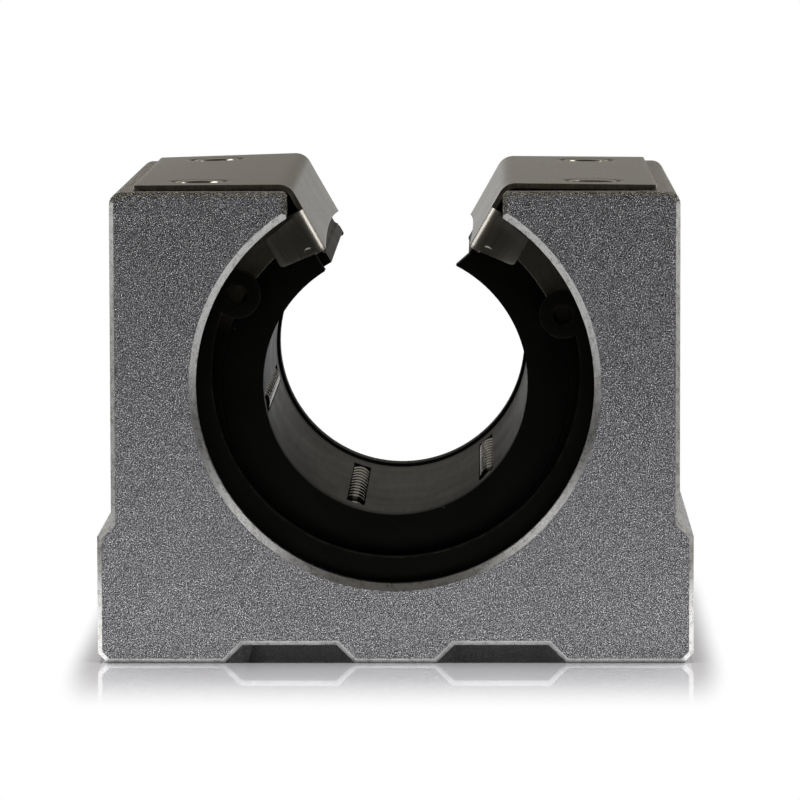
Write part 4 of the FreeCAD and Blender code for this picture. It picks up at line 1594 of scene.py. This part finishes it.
@dataclass
class Studio:
    """Floor, backdrop, lamps and camera, in metres and degrees."""

    floor_width: float = 1.6
    floor_front: float = -0.097
    floor_rear: float = 2.0
    floor_gloss: float = 0.035
    # A painted shadow's colour under the block, then the floor's own colour.
    painted_shadow_and_floor_colours: tuple[Colour, Colour] = ((0.04, 0.04, 0.04), (0.8, 0.79, 0.82))
    footprint: float = 0.0437
    shade_zone: tuple[float, float] = (0.014, 0.052)
    glossy_zone: tuple[float, float] = (0.0, 0.004)
    painted_shadow_zone: tuple[float, float] = (0.0, 0.0015)
    side_fall: float = 8.0
    room: float = 0.02
    ceiling: float = 0.035
    ceiling_zone: tuple[float, float] = (0.0, 0.5)
    rear_level: float = 0.16
    rear_zone: tuple[float, float] = (-0.1, 0.22)
    backdrop_level: float = 0.8
    backdrop_zone: tuple[float, float] = (-0.01, 0.06)
    room_tint: Colour = (1.0, 0.94, 0.84)
    boxes: tuple[SoftBox, ...] = (
        SoftBox("top_box", (0.0, 0.02, 0.75), (0.7, 0.7), 7.0, in_gloss=False),
        SoftBox("rear_box", (0.0, 0.75, 0.55), (1.1, 0.4), 0.9, (1.0, 0.95, 0.88)),
        SoftBox("left_box", (-0.6, 0.09, 0.52), (0.44, 0.45), 1.7),
        SoftBox("right_box", (0.6, 0.09, 0.52), (0.44, 0.45), 1.7),
    )
    lens: float = 270.25
    sensor_width: float = 36.0
    view_end: float = 50.0
    camera_place: Point = (0.01368, -0.94398, 0.12352)
    camera_pitch: float = -5.3115
    camera_yaw: float = 0.8107
    camera_roll: float = 0.1264

    def _floor_material(self) -> bpy.types.Material:
        """White glossy floor with a painted shadow under the block: full white to the camera away
        from the object.
        """
        material, graph = new_material("studio_floor")
        beyond = graph.vector("ABSOLUTE", graph.place())
        beyond = graph.vector("SUBTRACT", beyond, (self.footprint, self.footprint, 0.0))
        beyond = graph.vector("MAXIMUM", beyond, (0.0, 0.0, 0.0))
        beyond = graph.vector("MULTIPLY", beyond, (self.side_fall, 1.0, 1.0))
        distance = graph.vector("LENGTH", beyond, output="Value")
        # Painted shadow: the floor turns nearly black within the block's footprint.
        colour = graph.mix(distance.above(*self.painted_shadow_zone), *self.painted_shadow_and_floor_colours)
        inputs = {"Base Color": colour, "Roughness": self.floor_gloss}
        sheen = graph.out("ShaderNodeBsdfPrincipled", inputs=inputs)
        white = graph.out("ShaderNodeEmission", inputs={"Color": (1, 1, 1, 1), "Strength": 1.0})
        camera, glossy, through = graph.rays()
        clear = (camera + through) * distance.above(*self.shade_zone)
        share = (clear + glossy * distance.above(*self.glossy_zone)).clamped()
        surface = graph.out("ShaderNodeMixShader", inputs={0: share, 1: sheen, 2: white})
        graph.node("ShaderNodeOutputMaterial", inputs={"Surface": surface})
        return material

    def _floor(self) -> None:
        """Lay the floor under and behind the object."""
        middle = (self.floor_front + self.floor_rear) / 2
        bpy.ops.mesh.primitive_plane_add(size=1.0, location=(0.0, middle, 0.0))
        floor = bpy.context.active_object
        floor.name = "studio_floor"
        floor.scale = (self.floor_width, self.floor_rear - self.floor_front, 1.0)
        bake_place(floor)
        dress(floor, self._floor_material())

    def _world(self) -> None:
        """White backdrop behind the object, and a dim room on the camera's side."""
        world = bpy.data.worlds.new("studio_world")
        bpy.context.scene.world = world
        world.use_nodes = True
        graph = Graph(world.node_tree)
        direction = graph.out("ShaderNodeTexCoord", output="Generated")
        parts = graph.node("ShaderNodeSeparateXYZ", inputs={0: direction})
        height = Signal(graph, parts.outputs["Z"])
        behind = Signal(graph, parts.outputs["Y"]).above(*self.rear_zone)
        backdrop = behind * (1.0 - height.above(*self.backdrop_zone))
        ceiling = self.ceiling * height.above(*self.ceiling_zone)
        room = self.room + ceiling + self.rear_level * behind
        camera, glossy, through = graph.rays()
        share = (camera + (glossy + through) * backdrop).clamped()
        dim = graph.shaded(self.room_tint, room + self.backdrop_level * backdrop)
        level = graph.mix(share, dim, (1.0, 1.0, 1.0))
        background = graph.out("ShaderNodeBackground", inputs={"Color": level, "Strength": 1.0})
        graph.node("ShaderNodeOutputWorld", inputs={"Surface": background})

    def _camera(self) -> None:
        """The camera, slightly above and right of the middle, looking along the shaft."""
        data = bpy.data.cameras.new("studio_camera")
        data.lens = self.lens
        data.sensor_width = self.sensor_width
        data.clip_end = self.view_end
        camera = new_object("studio_camera", data)
        camera.location = self.camera_place
        angles = (90.0 + self.camera_pitch, self.camera_roll, self.camera_yaw)
        camera.rotation_euler = [math.radians(angle) for angle in angles]
        bpy.context.scene.camera = camera

    def build(self) -> None:
        """Set the studio up."""
        self._floor()
        self._world()
        for box in self.boxes:
            box.build()
        self._camera()
        bpy.context.scene.view_settings.view_transform = "Standard"


# --- Making the scene ------------------------------------------------------------------------


def main() -> None:
    """Build the studio and every piece, and report each one."""
    logging.basicConfig(level=logging.INFO, format="%(message)s")
    Studio().build()
    BlockBody().build()
    sheet = SheetSteel().material()
    cut = ShearedEdge().material()
    # A brighter copy of the sheet steel for the screws' dishes, a painted highlight so that their
    # glints show white.
    burnished = SheetSteel("burnished_dish", (0.5, 0.47, 0.42), (0.4, 0.4, 0.4), 0.16, 1.0).material()
    CoverPlate(
        side=Side.LEFT,
        stand_off=0.85,
        reach_shift=0.0,
        rises={End.FRONT: 0.15, End.REAR: 1.1},
        tab_leans={End.FRONT: 0.0, End.REAR: 0.0},
        sheet=sheet,
        cut=cut,
        brushed=BrushedTab(Side.LEFT).material(),
        burnished=burnished,
    ).build()
    CoverPlate(
        side=Side.RIGHT,
        stand_off=0.25,
        reach_shift=0.45,
        rises={End.FRONT: 0.42, End.REAR: 0.3},
        tab_leans={End.FRONT: 7.0, End.REAR: 0.0},
        sheet=sheet,
        cut=cut,
        brushed=BrushedTab(Side.RIGHT).material(),
        burnished=burnished,
    ).build()
    screw_steel = SheetSteel("screw_steel", (0.3, 0.29, 0.26), (0.3, 0.3, 0.3), 0.2, 1.0)
    PlateScrews(screw_steel.material()).build()
    oxide = OxideSteel().material()
    rubber = SealRubber().material()
    for end in End:
        SnapRing(end, oxide).build()
        EndSeal(end, rubber).build()
    bushing = (GroundSteel(), PaintedLightSleeveEnd(), RetainerPlastic(), BallSteel())
    Bushing(*(finish.material() for finish in bushing)).build()


if __name__ == "__main__":
    main()
